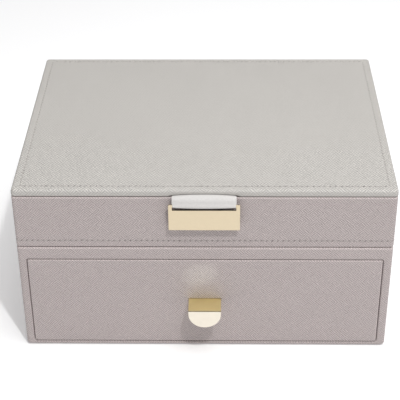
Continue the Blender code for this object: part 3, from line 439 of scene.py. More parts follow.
def arc(centre, radius, start, end, steps=EDGE_STEPS):
    """Points on an arc from one angle in degrees to another, both ends included."""
    points = []
    for step in range(steps + 1):
        angle = math.radians(start + (end - start) * step / steps)
        points.append((centre[0] + radius * math.cos(angle), centre[1] + radius * math.sin(angle)))
    return points


def rounded_rectangle(half_u, half_v, radii):
    """Corner arcs of a rectangle centred on zero; radii run from (+u, +v) round by the left."""
    points = []
    for turn, (sign_u, sign_v) in enumerate(CORNER_SIGNS):
        radius = max(radii[turn], HAIR)
        centre = (sign_u * (half_u - radius), sign_v * (half_v - radius))
        points += arc(centre, radius, turn * 90, turn * 90 + 90, CORNER_STEPS)
    return points


def plan_ring(half, level, inset, marks=()):
    """A level ring: a rounded rectangle drawn in by inset, with extra points along its front side."""
    points = rounded_rectangle(half.x - inset, half.y - inset, (CORNER_RADIUS - inset,) * 4)
    last_corner = 3 * (CORNER_STEPS + 1)
    points[last_corner:last_corner] = [(x, inset - half.y) for x in marks]
    return [(x, y, level) for x, y in points]


def front_ring(centre, half_x, half_z, radii, depth, inset=0.0):
    """An upright ring in a plane of constant y."""
    outline = rounded_rectangle(half_x - inset, half_z - inset, [radius - inset for radius in radii])
    return [(centre.x + x, depth, centre.z + z) for x, z in outline]


def join_rows(built, low, high):
    """Faces between two closed rows of vertices, also where one row has more of them."""
    if len(low) == len(high):
        for place in range(len(low)):
            following = (place + 1) % len(low)
            built.faces.new((low[place], low[following], high[following], high[place]))
        return
    shares = []
    for row in (low, high):
        run = [0.0]
        for near, far in zip(row, [*row[1:], row[0]]):
            run.append(run[-1] + (far.co - near.co).length)
        shares.append([reached / run[-1] for reached in run])
    first = second = 0
    while first < len(low) or second < len(high):
        near, far = low[first % len(low)], high[second % len(high)]
        if second == len(high) or (first < len(low) and shares[0][first + 1] <= shares[1][second + 1]):
            first += 1
            following = low[first % len(low)]
        else:
            second += 1
            following = high[second % len(high)]
        built.faces.new((near, following, far))


def loft(rings, closed=False, built=None):
    """Skin a run of closed rings; closed joins the last to the first, else the ends are capped."""
    built = built or bmesh.new()
    rows = [[built.verts.new(point) for point in ring] for ring in rings]
    for low, high in zip(rows, rows[1:]):
        join_rows(built, low, high)
    if closed:
        join_rows(built, rows[-1], rows[0])
    else:
        built.faces.new(rows[0])
        built.faces.new(rows[-1])
    return built


def laid_flat(vert, normal):
    """Grain map of a face that is laid flat along its main direction."""
    lean = [abs(part) for part in normal]
    u, v = ((1, 2), (0, 2), (0, 1))[lean.index(max(lean))]
    return vert.co[u], vert.co[v]


def add_grain_map(built, spread=laid_flat):
    """A map in metres for the grain, which spread() gives for a vertex and its face's normal."""
    layer = built.loops.layers.uv.new("grain")
    built.verts.index_update()
    for face in built.faces:
        for loop in face.loops:
            loop[layer].uv = spread(loop.vert, face.normal)


def add_object(name, built, material, smooth=True, spread=None):
    """Turn a bmesh into a piece with one material."""
    bmesh.ops.recalc_face_normals(built, faces=built.faces)
    built.normal_update()
    if spread:
        add_grain_map(built, spread)
    mesh = bpy.data.meshes.new(name)
    built.to_mesh(mesh)
    built.free()
    piece = bpy.data.objects.new(name, mesh)
    bpy.context.scene.collection.objects.link(piece)
    if material:
        mesh.materials.append(material)
    if smooth:
        mesh.shade_smooth()
    return piece


def cut(piece, tool_rings):
    """Cut a lofted tool out of a piece, and map the piece's grain."""
    tool = add_object("cutter", loft(tool_rings), None)
    step = piece.modifiers.new("cut", "BOOLEAN")
    step.operation, step.solver, step.object = "DIFFERENCE", "EXACT", tool
    built = bmesh.new()
    built.from_object(piece, bpy.context.evaluated_depsgraph_get())
    piece.modifiers.clear()
    bpy.data.objects.remove(tool)
    built.normal_update()
    add_grain_map(built)
    built.to_mesh(piece.data)
    built.free()
    piece.data.shade_smooth()


def write_marks(piece, name, values):
    """Give each vertex a number that the piece's material reads."""
    piece.data.attributes.new(name, "FLOAT", "POINT").data.foreach_set("value", values)


def dress(piece, body, slot, *nodes, sharp=None):
    """Let a piece ride on its body and stand for its CAD nodes, which it hides; slot is not used.

    Where sharp is given, in degrees, the large flat faces set the shading of the softer edges beside them.
    """
    if sharp:
        piece.data.set_sharp_from_angle(angle=math.radians(sharp))
        piece.modifiers.new("weighted", "WEIGHTED_NORMAL").keep_sharp = True
    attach(piece, body)
    if nodes:
        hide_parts(*nodes)


# Stitching

def seam_round(half, inset, radius):
    """Equal steps round a rounded rectangle, as (point, outward normal): a whole number of stitches."""
    bend = radius * math.pi / 2
    flat_x, flat_y = half.x - inset - radius, half.y - inset - radius
    lengths = (bend, 2 * flat_x, bend, 2 * flat_y) * 2
    total = sum(lengths)
    count = round(total / STITCH_PITCH) * COLUMNS_PER_STITCH
    walked = []
    for number in range(count):
        left = total * number / count
        for run, length in enumerate(lengths):
            if left < length:
                break
            left -= length
        turn, straight = divmod(run, 2)
        sign_x, sign_y = CORNER_SIGNS[turn]
        angle = (turn + (1 if straight else left / bend)) * math.pi / 2
        normal = Vector((math.cos(angle), math.sin(angle)))
        point = Vector((sign_x * flat_x, sign_y * flat_y)) + normal * radius
        if straight:
            point += normal.orthogonal() * left
        walked.append((point, normal))
    return walked


def stitch_depth(across, phase):
    """How deep the leatherette is drawn in, and the hole's part; phase is 0 at one hole and 1 at the next."""
    along = (phase - round(phase)) * STITCH_PITCH
    slanted = across - along * HOLE_SLANT
    channel = CHANNEL_DEPTH * math.exp(-(across / CHANNEL_HALF_WIDTH) ** 2)
    hole = math.exp(-(along / HOLE_HALF_LENGTH) ** 2 - (slanted / HOLE_HALF_WIDTH) ** 2)
    return channel + HOLE_DEPTH * hole, hole


def band_rings(seam, place, shade_at):
    """Rings of points that place() gives across a sewn band, and the painted shade of each point's hole, which
    shade_at() scales for a side.
    """
    rings, painted_hole_shades = [], []
    for share in BAND_ROWS:
        across = share * BAND_HALF_WIDTH
        ring = []
        for number, (point, normal) in enumerate(seam):
            phase = number % COLUMNS_PER_STITCH / COLUMNS_PER_STITCH
            depth, hole = (0.0, 0.0) if abs(share) == 1.0 else stitch_depth(across, phase)
            ring.append(place(point, normal, across, depth))
            painted_hole_shades.append(hole * shade_at(normal))
        rings.append(ring)
    return rings, painted_hole_shades


def shade_wrap(wrap, rings_before=(), painted_hole_shades=(), highlight_at=lambda spot: 0.0):
    """Paint shade on a wrap where the rings after the given ones sink, and paint a highlight where the given
    function gives 1.
    """
    values = [0.0] * sum(len(ring) for ring in rings_before) + list(painted_hole_shades)
    values += [0.0] * (len(wrap.data.vertices) - len(values))
    write_marks(wrap, "sunk", [value - EDGE_HIGHLIGHT * highlight_at(vert.co)
                               for value, vert in zip(values, wrap.data.vertices)])


def sew(name, seam, place, material, body):
    """Thread along a seam: each stitch leaves one hole, lies over the leatherette and dives into the next."""
    built = bmesh.new()
    total = len(seam)
    for start in range(0, total, COLUMNS_PER_STITCH):
        rings = []
        for step in range(THREAD_STEPS + 1):
            share = step / THREAD_STEPS
            spot = start + share * COLUMNS_PER_STITCH
            near, far = seam[int(spot) % total], seam[(int(spot) + 1) % total]
            point, normal = (first.lerp(second, spot - int(spot)) for first, second in zip(near, far))
            normal.normalize()
            arch = math.sin(math.pi * share)
            sunk = stitch_depth(0.0, share)[0] * (1 + THREAD_DIVE * (1 - arch)) - arch * THREAD_RISE
            across = THREAD_SLANT * math.cos(math.pi * share)
            reach = THREAD_RADIUS * (THREAD_END_SHARE + (1 - THREAD_END_SHARE) * arch)
            turns = [math.tau * side / THREAD_SIDES for side in range(THREAD_SIDES)]
            rings.append([place(point, normal, across + reach * math.cos(turn), sunk - reach * math.sin(turn))
                          for turn in turns])
        loft(rings, built=built)
    dress(add_object(name, built, material), body, "leatherette")


# Leatherette pieces

def strap_ply(across):
    """Thickness of one ply at a share of the half width: full in the middle, pressed thin at the edges."""
    crown = 1 - min(abs(across), 1.0) ** STRAP_CROWN_POWER
    return STRAP_EDGE_PLY + (STRAP_PLY - STRAP_EDGE_PLY) * crown


def lid_arch(x):
    """How far the lid's lower front edge rises over the strap."""
    past = abs(x) - STRAP_NECK_HALF_WIDTH - STRAP_CLEARANCE
    ply = strap_ply(x / STRAP_NECK_HALF_WIDTH)
    rise = TAIL_LOW.z - LID_LOW.z + 2 * ply + STRAP_PLY_GAP + STRAP_CLEARANCE
    return rise * smooth_share(ARCH_SHOULDER - past, 0.0, ARCH_SHOULDER)


def build_lid_wrap(materials):
    """The lid's leatherette with its sewn border; its lower front edge arches over the strap."""
    _, half, base, top = frame_size("lid_wrap")
    reach = (STRAP_NECK_HALF_WIDTH + STRAP_CLEARANCE + ARCH_SHOULDER) * ARCH_MARGIN
    count = math.ceil(2 * reach / ARCH_STEP)
    marks = [reach * (2 * step / count - 1) for step in range(count + 1)]

    def ring_at(inset, level, side=0.0):
        """A ring whose front is lifted over the strap, less and less towards the top."""
        ring = []
        for x, y, z in plan_ring(half, level, inset, marks):
            if y < LID_LOW.y + 2 * TURN_UNDER:
                share = max(1 - max(z - base - side, 0.0) / (top - base - LID_TOP_RADIUS - side), 0.0)
                z += max(lid_arch(x) - side, 0.0) * share
            ring.append((x, y, z))
        return ring

    def on_top(point, normal, across, depth):
        spot = point - normal * across
        return (spot.x, spot.y, top - depth)

    def rolled(vert, normal):
        """The grain map, which rolls on over the lid's rounded edge and down its side."""
        place = list(vert.co[:2])
        fall = max(top - vert.co.z, 0.0)
        run = (LID_TOP_RADIUS * math.acos(max(1 - fall / LID_TOP_RADIUS, 0.0))
               + max(fall - LID_TOP_RADIUS, 0.0))
        side = int(abs(normal.y) >= abs(normal.x))
        flat = half[side] - LID_TOP_RADIUS
        if normal.z > -0.5 and abs(place[side]) > flat:
            place[side] = math.copysign(flat + run, place[side])
        return place

    seam = seam_round(half, LID_STITCH_INSET, STITCH_CORNER_RADIUS)
    # The stitch holes' painted shade is weaker along the lid's sides than along its front and back
    band, painted_hole_shades = band_rings(seam, on_top, lambda normal: (
        LID_SIDE_SEAM_SHARE if abs(normal.x) > abs(normal.y) else 1.0))
    inside = [(SKIN, top - LID_TOP_RADIUS), (SKIN, base + SKIN), (TURN_UNDER, base + SKIN)]
    outside = [(TURN_UNDER, base), *arc((FOOT_RADIUS, base + FOOT_RADIUS), FOOT_RADIUS, 270, 180),
               *arc((LID_TOP_RADIUS, top - LID_TOP_RADIUS), LID_TOP_RADIUS, 180, 90)]
    rings = [plan_ring(half, top - SKIN - SKIN / 2, LID_TOP_RADIUS)]
    rings += [ring_at(*spot, SKIN - STRAP_CLEARANCE) for spot in inside]
    rings += [ring_at(*spot) for spot in outside]
    wrap = add_object("lid_leatherette", loft([*rings, *band]), materials["lid_leatherette"], spread=rolled)
    # Painted shade in the stitch holes
    shade_wrap(wrap, rings, painted_hole_shades)
    write_marks(wrap, "pulled", [LID_EDGE_PULL * min(max(top - vert.co.z, 0.0) / LID_TOP_RADIUS, 1.0)
                                 for vert in wrap.data.vertices])
    dress(wrap, "lid", "leatherette", "lid_wrap", sharp=50)
    sew("lid_stitching", seam, on_top, materials["thread"], "lid")


def tier_section(base, top, foot_radius, rim_radius, lip):
    """A tier's leatherette as (inset, level): round its foot, and over its rim, down its lip and back."""
    foot = [(TURN_UNDER, base), *arc((foot_radius, base + foot_radius), foot_radius, 270, 180)]
    rim = [(0.0, top - rim_radius - EDGE_REACH),
           *arc((rim_radius, top - rim_radius), rim_radius, 180, 90),
           *arc((RIM_WIDTH - rim_radius, top - rim_radius), rim_radius, 90, 0),
           (RIM_WIDTH, top - lip), (RIM_WIDTH - SKIN, top - lip), (RIM_WIDTH - SKIN, top - SKIN),
           (SKIN, top - SKIN), (SKIN, base + SKIN), (TURN_UNDER, base + SKIN)]
    return foot, rim


def rim_highlight(top, radius):
    """How much painted highlight a tier's leatherette takes at a vertex: fully on its rim and not at all below it.
    """
    return lambda spot: smooth_share(spot.z, top - radius - EDGE_REACH, top - radius)


def build_tray_wrap(materials):
    """The upper tier's leatherette, sewn round its foot."""
    _, half, base, top = frame_size("tray_wrap")
    foot, rim = ([plan_ring(half, level, inset) for inset, level in part]
                 for part in tier_section(base, top, FOOT_RADIUS, RIM_RADIUS, RIM_LIP))

    def on_side(point, normal, across, depth):
        spot = point - normal * depth
        return (spot.x, spot.y, base + TRAY_STITCH_HEIGHT + across)

    seam = seam_round(half, 0.0, CORNER_RADIUS)
    # The tray's stitch holes take a weaker painted shade
    band, painted_hole_shades = band_rings(seam, on_side, lambda normal: TRAY_SEAM_SHARE)
    wrap = add_object("tray_leatherette", loft([*foot, *band, *rim], closed=True), materials["leatherette"],
                      spread=laid_flat)
    # Painted shade in the stitch holes and a painted highlight along the rim
    shade_wrap(wrap, foot, painted_hole_shades, rim_highlight(top, RIM_RADIUS))
    dress(wrap, "upper_tier", "leatherette", "tray_wrap", sharp=50)
    sew("tray_stitching", seam, on_side, materials["thread"], "upper_tier")


def build_lower_wrap(materials):
    """The drawer tier's leatherette, and the edge that it turns into the opening."""
    _, half, base, top = frame_size("lower_wrap")
    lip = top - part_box("deck_cloth")[1].z - SKIN / 2
    foot, rim = tier_section(base, top, LOWER_EDGE_RADIUS, LOWER_RIM_RADIUS, lip)
    rings = [plan_ring(half, level, inset) for inset, level in [*foot, *rim]]
    wrap = add_object("lower_leatherette", loft(rings, closed=True), materials["leatherette"])
    middle, drawer_half, *_ = frame_size("drawer_front_wrap")
    front = -half.y

    def opening(depth, outward):
        """The drawer opening's outline at a depth behind the front, drawn outward."""
        corners = [radius + DRAWER_GAP for radius in DRAWER_CORNER_RADII]
        return front_ring(middle, drawer_half.x + DRAWER_GAP, drawer_half.z + DRAWER_GAP, corners,
                          front + depth, -outward)

    cut(wrap, [opening(depth, TURN_IN_SEAM) for depth in (-TURN_UNDER, TURN_UNDER)])
    # A painted highlight along the rim
    shade_wrap(wrap, highlight_at=rim_highlight(top, LOWER_RIM_RADIUS))
    dress(wrap, "lower_case", "leatherette", "lower_wrap", sharp=50)

    radius = TURN_IN_SEAM + TURN_IN_REACH
    section = [*arc((TURN_IN_SEAM, radius), radius, 270, 180), (-TURN_IN_REACH, TURN_IN_DEPTH),
               (TURN_IN_THICKNESS - TURN_IN_REACH, TURN_IN_DEPTH),
               *arc((TURN_IN_SEAM, radius), radius - TURN_IN_THICKNESS, 180, 270)]
    rings = [opening(depth, outward) for outward, depth in section]
    edge = add_object("opening_turn_in", loft(rings, closed=True), materials["leatherette"], spread=laid_flat)
    dress(edge, "lower_case", "leatherette", sharp=50)


def build_drawer_wrap(materials):
    """The drawer front's leatherette, with the slot that the pull comes out of."""
    centre, half, *_ = frame_size("drawer_front_wrap")
    front, back = centre.y - half.y, centre.y + half.y
    edge = DRAWER_EDGE_RADIUS
    section = [*arc((edge, front + edge), edge, 270, 180), (0.0, back), (SKIN, front + SKIN), (SKIN, back)]
    rings = [front_ring(centre, half.x, half.z, DRAWER_CORNER_RADII, depth, inset) for inset, depth in section]
    wrap = add_object("drawer_leatherette", loft(rings), materials["leatherette"])
    clearance = DRAWER_GAP / 4
    half_x = PULL_HIGH.x + clearance
    low, high = PULL_FLANGE_TOP - PULL_THICKNESS - clearance, PULL_FLANGE_TOP + clearance
    slot = [(-half_x, low), (half_x, low), (half_x, high), (-half_x, high)]
    cut(wrap, [[(x, depth, z) for x, z in slot] for depth in (front - SKIN, front + 4 * SKIN)])
    # A painted highlight on the rounded edges and on everything behind the front face
    shade_wrap(wrap, highlight_at=lambda spot: smooth_share(spot.y, front, front + edge / 8))
    dress(wrap, "drawer", "leatherette", "drawer_front_wrap", sharp=50)


# Strap, plate and pull

def strap_path():
    """Middle line of the folded strap in the YZ plane: in from its lower ply, round the plate's bar and back."""
    bar = Vector(((PLATE_LOW.y + PLATE_HIGH.y) / 2, PLATE_HIGH.z - PLATE_BAR_HEIGHT / 2))
    middle = (TAIL_LOW.z + TAIL_HIGH.z) / 2
    lift = (STRAP_PLY + STRAP_PLY_GAP) / 2
    turn_y = bar.x + STRAP_BEND_RADIUS
    bend = (turn_y, middle - STRAP_BEND_RADIUS)
    plate_half = (PLATE_HIGH.y - PLATE_LOW.y) / 2
    radius = math.hypot(plate_half, PLATE_BAR_HEIGHT / 2) + STRAP_BAR_CLEARANCE + STRAP_PLY / 2
    path = [(TAIL_HIGH.y, middle - lift), (turn_y + SKIN, middle - lift),
            *arc(bend, STRAP_BEND_RADIUS - lift, 90, STRAP_NECK_TURN, STRAP_NECK_STEPS),
            *arc(bar, radius, *STRAP_BAR_TURNS, STRAP_BAR_STEPS),
            *arc(bend, STRAP_BEND_RADIUS + lift, STRAP_NECK_TURN, 90, STRAP_NECK_STEPS),
            (turn_y + SKIN, middle + lift), (TAIL_HIGH.y, middle + lift)]
    return [Vector(point) for point in path]


def strap_half_width(point):
    """Half the strap's width: full at the neck, drawn in under the lid and in the plate's slot."""
    tucked = smooth_share(point.x, LID_LOW.y - SKIN, LID_LOW.y + SKIN)
    held = smooth_share(-point.y, -(LOOP_LOW.z + LOOP_HIGH.z) / 2, -PLATE_HIGH.z)
    neck = STRAP_NECK_HALF_WIDTH
    return neck + (STRAP_TAIL_HALF_WIDTH - neck) * tucked + (STRAP_EYE_HALF_WIDTH - neck) * held


def even_steps(points, step):
    """The same line, smoothed, with evenly spaced points, as (point, unit direction), and its length."""
    runs = [0.0]
    for near, far in zip(points, points[1:]):
        runs.append(runs[-1] + (far - near).length)
    count = round(runs[-1] / step)
    line = []
    for number in range(count + 1):
        reach = runs[-1] * number / count
        place = max(bisect.bisect_left(runs, reach, hi=len(runs) - 1) - 1, 0)
        share = (reach - runs[place]) / (runs[place + 1] - runs[place])
        line.append(points[place].lerp(points[place + 1], share))
    for _ in range(STRAP_SMOOTHING):
        line = [line[0], *[(before + 2 * here + after) / 4
                           for before, here, after in zip(line, line[1:], line[2:])], line[-1]]
    directions = [(line[min(number + 1, count)] - line[max(number - 1, 0)]).normalized()
                  for number in range(count + 1)]
    return list(zip(line, directions)), runs[-1]


def build_strap(materials):
    """The webbing strap: one ribbon, folded round the plate's bar, its two ends sewn under the lid."""
    line, length = even_steps(strap_path(), STRAP_STEP)
    rings = []
    for number, (point, direction) in enumerate(line):
        outward = Vector((direction.y, -direction.x))
        half_width = strap_half_width(point)
        stacked = 2 * smooth_share(number / len(line), *STRAP_FOLD) - 0.5
        near, far = [], []
        for step in range(STRAP_COLUMNS + 1):
            across = -math.cos(math.pi * step / STRAP_COLUMNS)
            half_ply = strap_ply(across) / 2
            bow = (STRAP_PLY - 2 * half_ply) * stacked
            if step % STRAP_COLUMNS == 0:
                half_ply *= STRAP_EDGE_SHARE
            for row, sign in ((near, 1), (far, -1)):
                spot = point + outward * (sign * half_ply + bow)
                row.append((half_width * across, spot.x, spot.y))
        rings.append([*near, *reversed(far)])
    per_ring = len(rings[0])
    strap = add_object("pull_strap", loft(rings), materials["webbing"], spread=lambda vert, _: (
        vert.co.x, vert.index // per_ring * length / (len(line) - 1)))
    slot_top = PLATE_HIGH.z - PLATE_BAR_HEIGHT
    # Painted shade on the strap below the top of the plate's slot
    write_marks(strap, "sunk", [smooth_share(slot_top - point.y, 0.0, STRAP_PLY / 2)
                                for point, _ in line for _ in range(per_ring)])
    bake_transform(strap)
    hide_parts("pull_strap_tail", "pull_loop")


def build_plate(materials):
    """The slotted plate with its eased edges; its face is bare."""
    centre, half, _, top = frame_size("pull_plate")
    slot = Vector((0, centre.y, top - PLATE_BAR_HEIGHT - PLATE_SLOT_HEIGHT / 2))
    rounding = [(PLATE_EDGE * (1 - math.cos(angle)), half.y - PLATE_EDGE * (1 - math.sin(angle)))
                for angle in map(math.radians, (90, 60, 30, 0))]
    steps = [(drawn_in, -depth) for drawn_in, depth in rounding] + rounding[::-1]
    rings = [front_ring(centre, half.x, half.z, (PLATE_CORNER_RADIUS,) * 4, centre.y + depth, drawn_in)
             for drawn_in, depth in steps]
    rings += [front_ring(slot, half.x - PLATE_CHEEK, PLATE_SLOT_HEIGHT / 2, (PLATE_SLOT_HEIGHT / 5,) * 4,
                         centre.y - depth, -drawn_in) for drawn_in, depth in steps]
    plate = add_object("pull_plate_face", loft(rings, closed=True), materials["plate_brass"])
    last_wall = 3 * len(rounding)
    walls = range(last_wall - 2, last_wall + 2)
    # Painted shade in the slot's walls
    write_marks(plate, "painted_shade", [float(number in walls) for number, ring in enumerate(rings) for _ in ring])
    dress(plate, "lid_plate", "plate_brass", "pull_plate", sharp=60)


def bent_strip(corners, half_thick):
    """Stations along a strip bent sharply at its inner corners, in the YZ plane.

    Each is (middle, step to the back face per unit of thickness, (how far it lies level, how much painted dark
    reflection it takes)).
    """
    ways = [(far - near).normalized() for near, far in zip(corners, corners[1:])]
    stations = [(corners[0], ways[0].orthogonal(), (0.0, 0.0))]
    for corner, into, out in zip(corners[1:-1], ways, ways[1:]):
        turn_way = -math.copysign(1, into.cross(out))
        first, second = into.orthogonal() * turn_way, out.orthogonal() * turn_way
        outer_middle = corner + (first + second) * (half_thick - PULL_OUTER_RADIUS)
        inner_middle = corner - (first + second) * (half_thick + PULL_INNER_RADIUS)
        for step in range(PULL_BEND_STEPS + 1):
            share = step / PULL_BEND_STEPS
            angle = math.pi / 2 * share
            normal = first * math.cos(angle) + second * math.sin(angle)
            outer = outer_middle + normal * PULL_OUTER_RADIUS
            inner = inner_middle + normal * PULL_INNER_RADIUS
            back = (outer - inner) / 2 / half_thick * turn_way
            lying = abs(into.x) * (1 - share) + abs(out.x) * share
            stations.append(((outer + inner) / 2, back, (lying, float(0 < share < 1))))
    return [*stations, (corners[-1], ways[-1].orthogonal(), (0.0, 0.0))]


def build_drawer_pull(materials):
    """The drawer pull: one polished strip, bent twice, that ends in a half-disc; its edges are eased."""
    half_width = PULL_HIGH.x
    inner_radius = half_width - PULL_EDGE
    half_thick = PULL_THICKNESS / 2
    leaf_y, face_y = PULL_HIGH.y - half_thick, PULL_LOW.y + half_thick
    flange_z = PULL_FLANGE_TOP - half_thick
    disc_start = PULL_LOW.z + half_width
    corners = [Vector(corner) for corner in ((leaf_y, PULL_HIGH.z), (leaf_y, flange_z), (face_y, flange_z),
                                             (face_y, disc_start))]
    stations = [(*station, half_width, inner_radius, half_thick) for station in bent_strip(corners, half_thick)]
    back = stations[-1][1]
    for step in range(1, PULL_DISC_STEPS + 1):
        turn = math.pi / 2 * step / PULL_DISC_STEPS
        drop = half_width * math.sin(turn)
        inner = math.sqrt(max(inner_radius ** 2 - drop ** 2, 0.0))
        past = max(drop - inner_radius, 0.0)
        stations.append((Vector((face_y, disc_start - drop)), back, (0.0, 0.0), half_width * math.cos(turn),
                         inner, half_thick - past))
    rings, marked = [], []
    for point, across, marks, outer, inner, thick in stations:
        edge = min(half_thick - PULL_EDGE, thick)
        ring = []
        for half, offset in ((-inner, thick), (inner, thick), (outer, edge), (outer, -edge),
                             (inner, -thick), (-inner, -thick), (-outer, -edge), (-outer, edge)):
            spot = point + across * offset
            ring.append((half, spot.x, spot.y))
        rings.append(ring)
        marked += [marks] * len(ring)
    built = loft(rings)
    # The level flange takes the painted reflection colour, the bends a painted dark reflection
    for place, name in enumerate(("level", "painted_shade")):
        layer = built.verts.layers.float.new(name)
        for vert, marks in zip(built.verts, marked):
            vert[layer] = marks[place]
    bmesh.ops.remove_doubles(built, verts=built.verts, dist=HAIR / 100)
    pull = add_object("drawer_pull_strip", built, materials["pull_brass"])
    dress(pull, "drawer", "pull_brass", "drawer_pull", sharp=60)


# Soft interior

def soften_node(node, name, material, body, slot, width=EDGE_SOFTENING):
    """A copy of a CAD node with eased edges, which stands for it."""
    built = bmesh.new()
    built.from_mesh(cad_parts[node].data)
    bmesh.ops.remove_doubles(built, verts=built.verts, dist=HAIR / 10)
    bmesh.ops.dissolve_limit(built, angle_limit=math.radians(1), verts=built.verts, edges=built.edges)
    sharp = [edge for edge in built.edges
             if len(edge.link_faces) == 2 and edge.calc_face_angle() > math.radians(SOFTENED_ANGLE)]
    bmesh.ops.bevel(built, geom=sharp, offset=width, segments=SOFTENING_STEPS, profile=0.5, affect="EDGES",
                    clamp_overlap=True)
    dress(add_object(name, built, material), body, slot, node, sharp=35)


def build_ring_rolls(materials):
    """Foam rolls under velvet: rounded over, drawn in at their ends, a little uneven."""
    for index in range(1, ROLL_COUNT + 1):
        node = f"ring_roll_{index}"
        centre, half, base, _ = frame_size(node)
        radius = half.x
        rings = []
        for station in range(ROLL_STATIONS + 1):
            share = station / ROLL_STATIONS
            along = centre.y + half.y * -math.cos(math.pi * share) * ROLL_LENGTH_SHARE
            from_end = half.y * ROLL_LENGTH_SHARE - abs(along - centre.y)
            drawn = max(1 - from_end / ROLL_END_ROUNDING, 0.0)
            shrink = ROLL_END_ROUNDING * (1 - math.sqrt(max(1 - drawn ** 2, 0.0)))
            narrow = radius - shrink * ROLL_END_NARROWING - NAP_RISE
            middle = base + 2 * half.z - radius - shrink * ROLL_END_SINKING
            foot = narrow * ROLL_FOOT_SHARE
            ring = [(centre.x + foot, along, base + HAIR)]
            for step in range(ROLL_SECTION_STEPS + 1):
                turn = math.pi * step / ROLL_SECTION_STEPS
                spot = [place * wave for place, wave in zip((along, turn, index), NAP_WAVES)]
                reach = narrow + NAP_RISE * noise.noise(spot)
                ring.append((centre.x + reach * math.cos(turn), along, middle + reach * math.sin(turn)))
            rings.append([*ring, (centre.x - foot, along, base + HAIR)])
        roll = add_object(f"velvet_roll_{index}", loft(rings), materials["velvet_roll"])
        dress(roll, "upper_tier", "velvet", node, sharp=60)


def build_lid_pad(materials):
    """The velvet pad under the lid: full in the middle, drawn in by a seam near its edge."""
    _, half, low, high = frame_size("lid_pad")
    crown_inset, crown_drop = PAD_PROFILE[-1]
    reach = half.y - 2 * CORNER_RADIUS - crown_inset
    shares = [step / PAD_CROWN_STEPS for step in range(1, PAD_CROWN_STEPS + 1)]
    crown = [(crown_inset + reach * share ** PAD_CROWN_POWER,
              crown_drop + (high - low - crown_drop) * math.sin(share * math.pi / 2)) for share in shares]
    rings = [plan_ring(half, high - drop, inset) for inset, drop in (*PAD_PROFILE, *crown)]
    pad = add_object("velvet_lid_pad", loft(rings), materials["velvet_pad"])
    dress(pad, "lid", "velvet", "lid_pad", sharp=70)


def build_interior(materials):
    """Linings, dividers and drawer box with eased velvet edges."""
    tray = ["ring_bay_divider", "bracelet_divider", "row_divider", "cross_divider_1", "cross_divider_2",
            "tray_lining"]
    drawer = [f"drawer_{part}" for part in ("left_side", "right_side", "back", "lining", "long_divider",
                                            "cross_divider_1", "cross_divider_2", "front_facing")]
    for body, nodes in (("upper_tier", tray), ("drawer", drawer)):
        for node in nodes:
            soften_node(node, f"{node}_velvet", materials["velvet"], body, "velvet")


def add_screw(built, centre, up):
    """A countersunk slotted screw head that looks up or down: two raised halves on a lower disc."""
    slot_turn = math.asin(SCREW_SLOT_WIDTH / 2 / SCREW_HEAD_RADIUS)

    def ring(turns, reach, level, side=1):
        return [(centre.x + reach * math.cos(turn), centre.y + side * reach * math.sin(turn),
                 centre.z + up * level) for turn in turns]

    round_turns = [math.tau * step / SCREW_STEPS for step in range(SCREW_STEPS)]
    loft([ring(round_turns, SCREW_HEAD_RADIUS, level) for level in (-2 * SCREW_SLOT_DEPTH, -SCREW_SLOT_DEPTH)],
         built=built)
    for side in (1, -1):
        rings = []
        for level, drawn_in in ((-2 * SCREW_SLOT_DEPTH, 0.0), (SCREW_HEAD_RISE - SCREW_EDGE, 0.0),
                                (SCREW_HEAD_RISE, SCREW_EDGE)):
            edge = slot_turn + drawn_in / SCREW_HEAD_RADIUS
            turns = [edge + (math.pi - 2 * edge) * step / SCREW_HALF_STEPS
                     for step in range(SCREW_HALF_STEPS + 1)]
            rings.append(ring(turns, SCREW_HEAD_RADIUS - drawn_in, level, side))
        loft(rings, built=built)


def build_hinges(materials):
    """Hinge leaves and pins with eased edges, and two slotted screws in the side of each leaf that shows."""
    brass = materials["hinge_brass"]
    tray_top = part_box("tray_wrap")[1].z
    for side in ("left", "right"):
        for part, body in (("tray_leaf", "upper_tier"), ("lid_leaf", "lid"), ("pin", "upper_tier")):
            node = f"hinge_{side}_{part}"
            soften_node(node, f"{node}_drawn", brass, body, "hinge_brass", HAIR)
        row_y = frame_size(f"hinge_{side}_pin")[0].y - SCREW_SETBACK
        for leaf, body, up, level in (("tray", "upper_tier", 1, tray_top), ("lid", "lid", -1, LID_LOW.z)):
            centre = frame_size(f"hinge_{side}_{leaf}_leaf")[0]
            built = bmesh.new()
            for sign in (-1, 1):
                add_screw(built, Vector((centre.x + sign * SCREW_SPACING / 2, row_y, level)), up)
            dress(add_object(f"hinge_{side}_{leaf}_screws", built, brass, smooth=False), body, "hinge_brass")


def finish_nodes(materials):
    """Give each CAD node that still shows its procedural finish."""
    finishes = {"felt_base": "felt", "tray_plinth_felt": "felt", "deck_cloth": "velvet", "bay_lining": "velvet",
                "pull_rivet_left": "pull_brass", "pull_rivet_right": "pull_brass"}
    for name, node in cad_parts.items():
        if not node.hide_render:
            node.data.materials.clear()
            node.data.materials.append(materials[finishes.get(name, "board")])


# Studio

def add_floor():
    """A plain pale floor."""
    built = bmesh.new()
    bmesh.ops.create_grid(built, x_segments=2, y_segments=2, size=FLOOR_SIZE)
    finish = Finish("studio_floor", 0.2, roughness=0.9, emission_color=(1.0, 1.0, 1.0, 1.0),
                    emission_strength=FLOOR_GLOW)
    mottle = finish.noise(finish.millimetres(), 0.004)
    finish.link(finish.ramp(mottle, [(0.3, (0.915, 0.915, 0.92)), (0.7, (0.925, 0.925, 0.93))]), "Base Color")
    floor = add_object("studio_floor", built, finish.material, smooth=False)


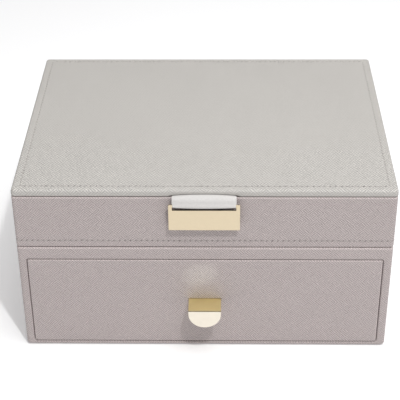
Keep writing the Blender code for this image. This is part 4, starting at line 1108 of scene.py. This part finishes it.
def add_lamp(name, kind, power, place, target, **settings):
    """A lamp in its place, facing its target."""
    lamp = bpy.data.lights.new(name, kind)
    lamp.energy = power
    for key, value in settings.items():
        setattr(lamp, key, value)
    holder = bpy.data.objects.new(name, lamp)
    holder.location = place
    holder.rotation_euler = (Vector(target) - Vector(place)).to_track_quat("-Z", "Y").to_euler()
    bpy.context.scene.collection.objects.link(holder)


def add_studio():
    """Two soft boxes overhead and in front, a small key from the upper front right, the glow and an even sky."""
    for name, place, target, size, power in SOFT_BOXES:
        add_lamp(name, "AREA", power, place, target, size=size)
    add_lamp("pull_glow", "SPOT", GLOW_POWER, GLOW_PLACE, GLOW_AIM, color=GLOW_COLOUR,
             spot_size=math.radians(GLOW_WIDTH), spot_blend=1.0, shadow_soft_size=0.0)
    world = bpy.data.worlds.new("studio_sky")
    world.use_nodes = True
    background = world.node_tree.nodes["Background"]
    background.inputs["Color"].default_value = (1.0, 1.0, 1.0, 1.0)
    background.inputs["Strength"].default_value = SKY_STRENGTH
    bpy.context.scene.world = world
    bpy.context.scene.view_settings.view_transform = "Standard"


def add_camera():
    """The photograph's camera."""
    pitch, yaw, roll = (math.radians(angle) for angle in (CAMERA_PITCH, CAMERA_YAW, CAMERA_ROLL))
    turn = Matrix.Rotation(-yaw, 3, "Z")
    ahead = turn @ Vector((0, math.cos(pitch), -math.sin(pitch)))
    right = turn @ Vector((1, 0, 0))
    up = right.cross(ahead)
    level_right = right * math.cos(roll) + up * math.sin(roll)
    level_up = up * math.cos(roll) - right * math.sin(roll)
    rotation = Matrix((level_right, level_up, -ahead)).transposed()
    camera = bpy.data.objects.new("camera", bpy.data.cameras.new("camera"))
    camera.data.lens = CAMERA_LENS
    camera.data.sensor_width = CAMERA_SENSOR
    camera.matrix_world = Matrix.LocRotScale(CAMERA_PLACE, rotation, None)
    bpy.context.scene.collection.objects.link(camera)
    bpy.context.scene.camera = camera


def main():
    """Camera, finishes, pieces, studio."""
    add_camera()
    materials = make_materials()
    for build in (build_lid_wrap, build_tray_wrap, build_lower_wrap, build_drawer_wrap, build_plate, build_strap,
                  build_drawer_pull, build_ring_rolls, build_lid_pad, build_interior, build_hinges,
                  finish_nodes):
        build(materials)
    add_floor()
    add_studio()


main()
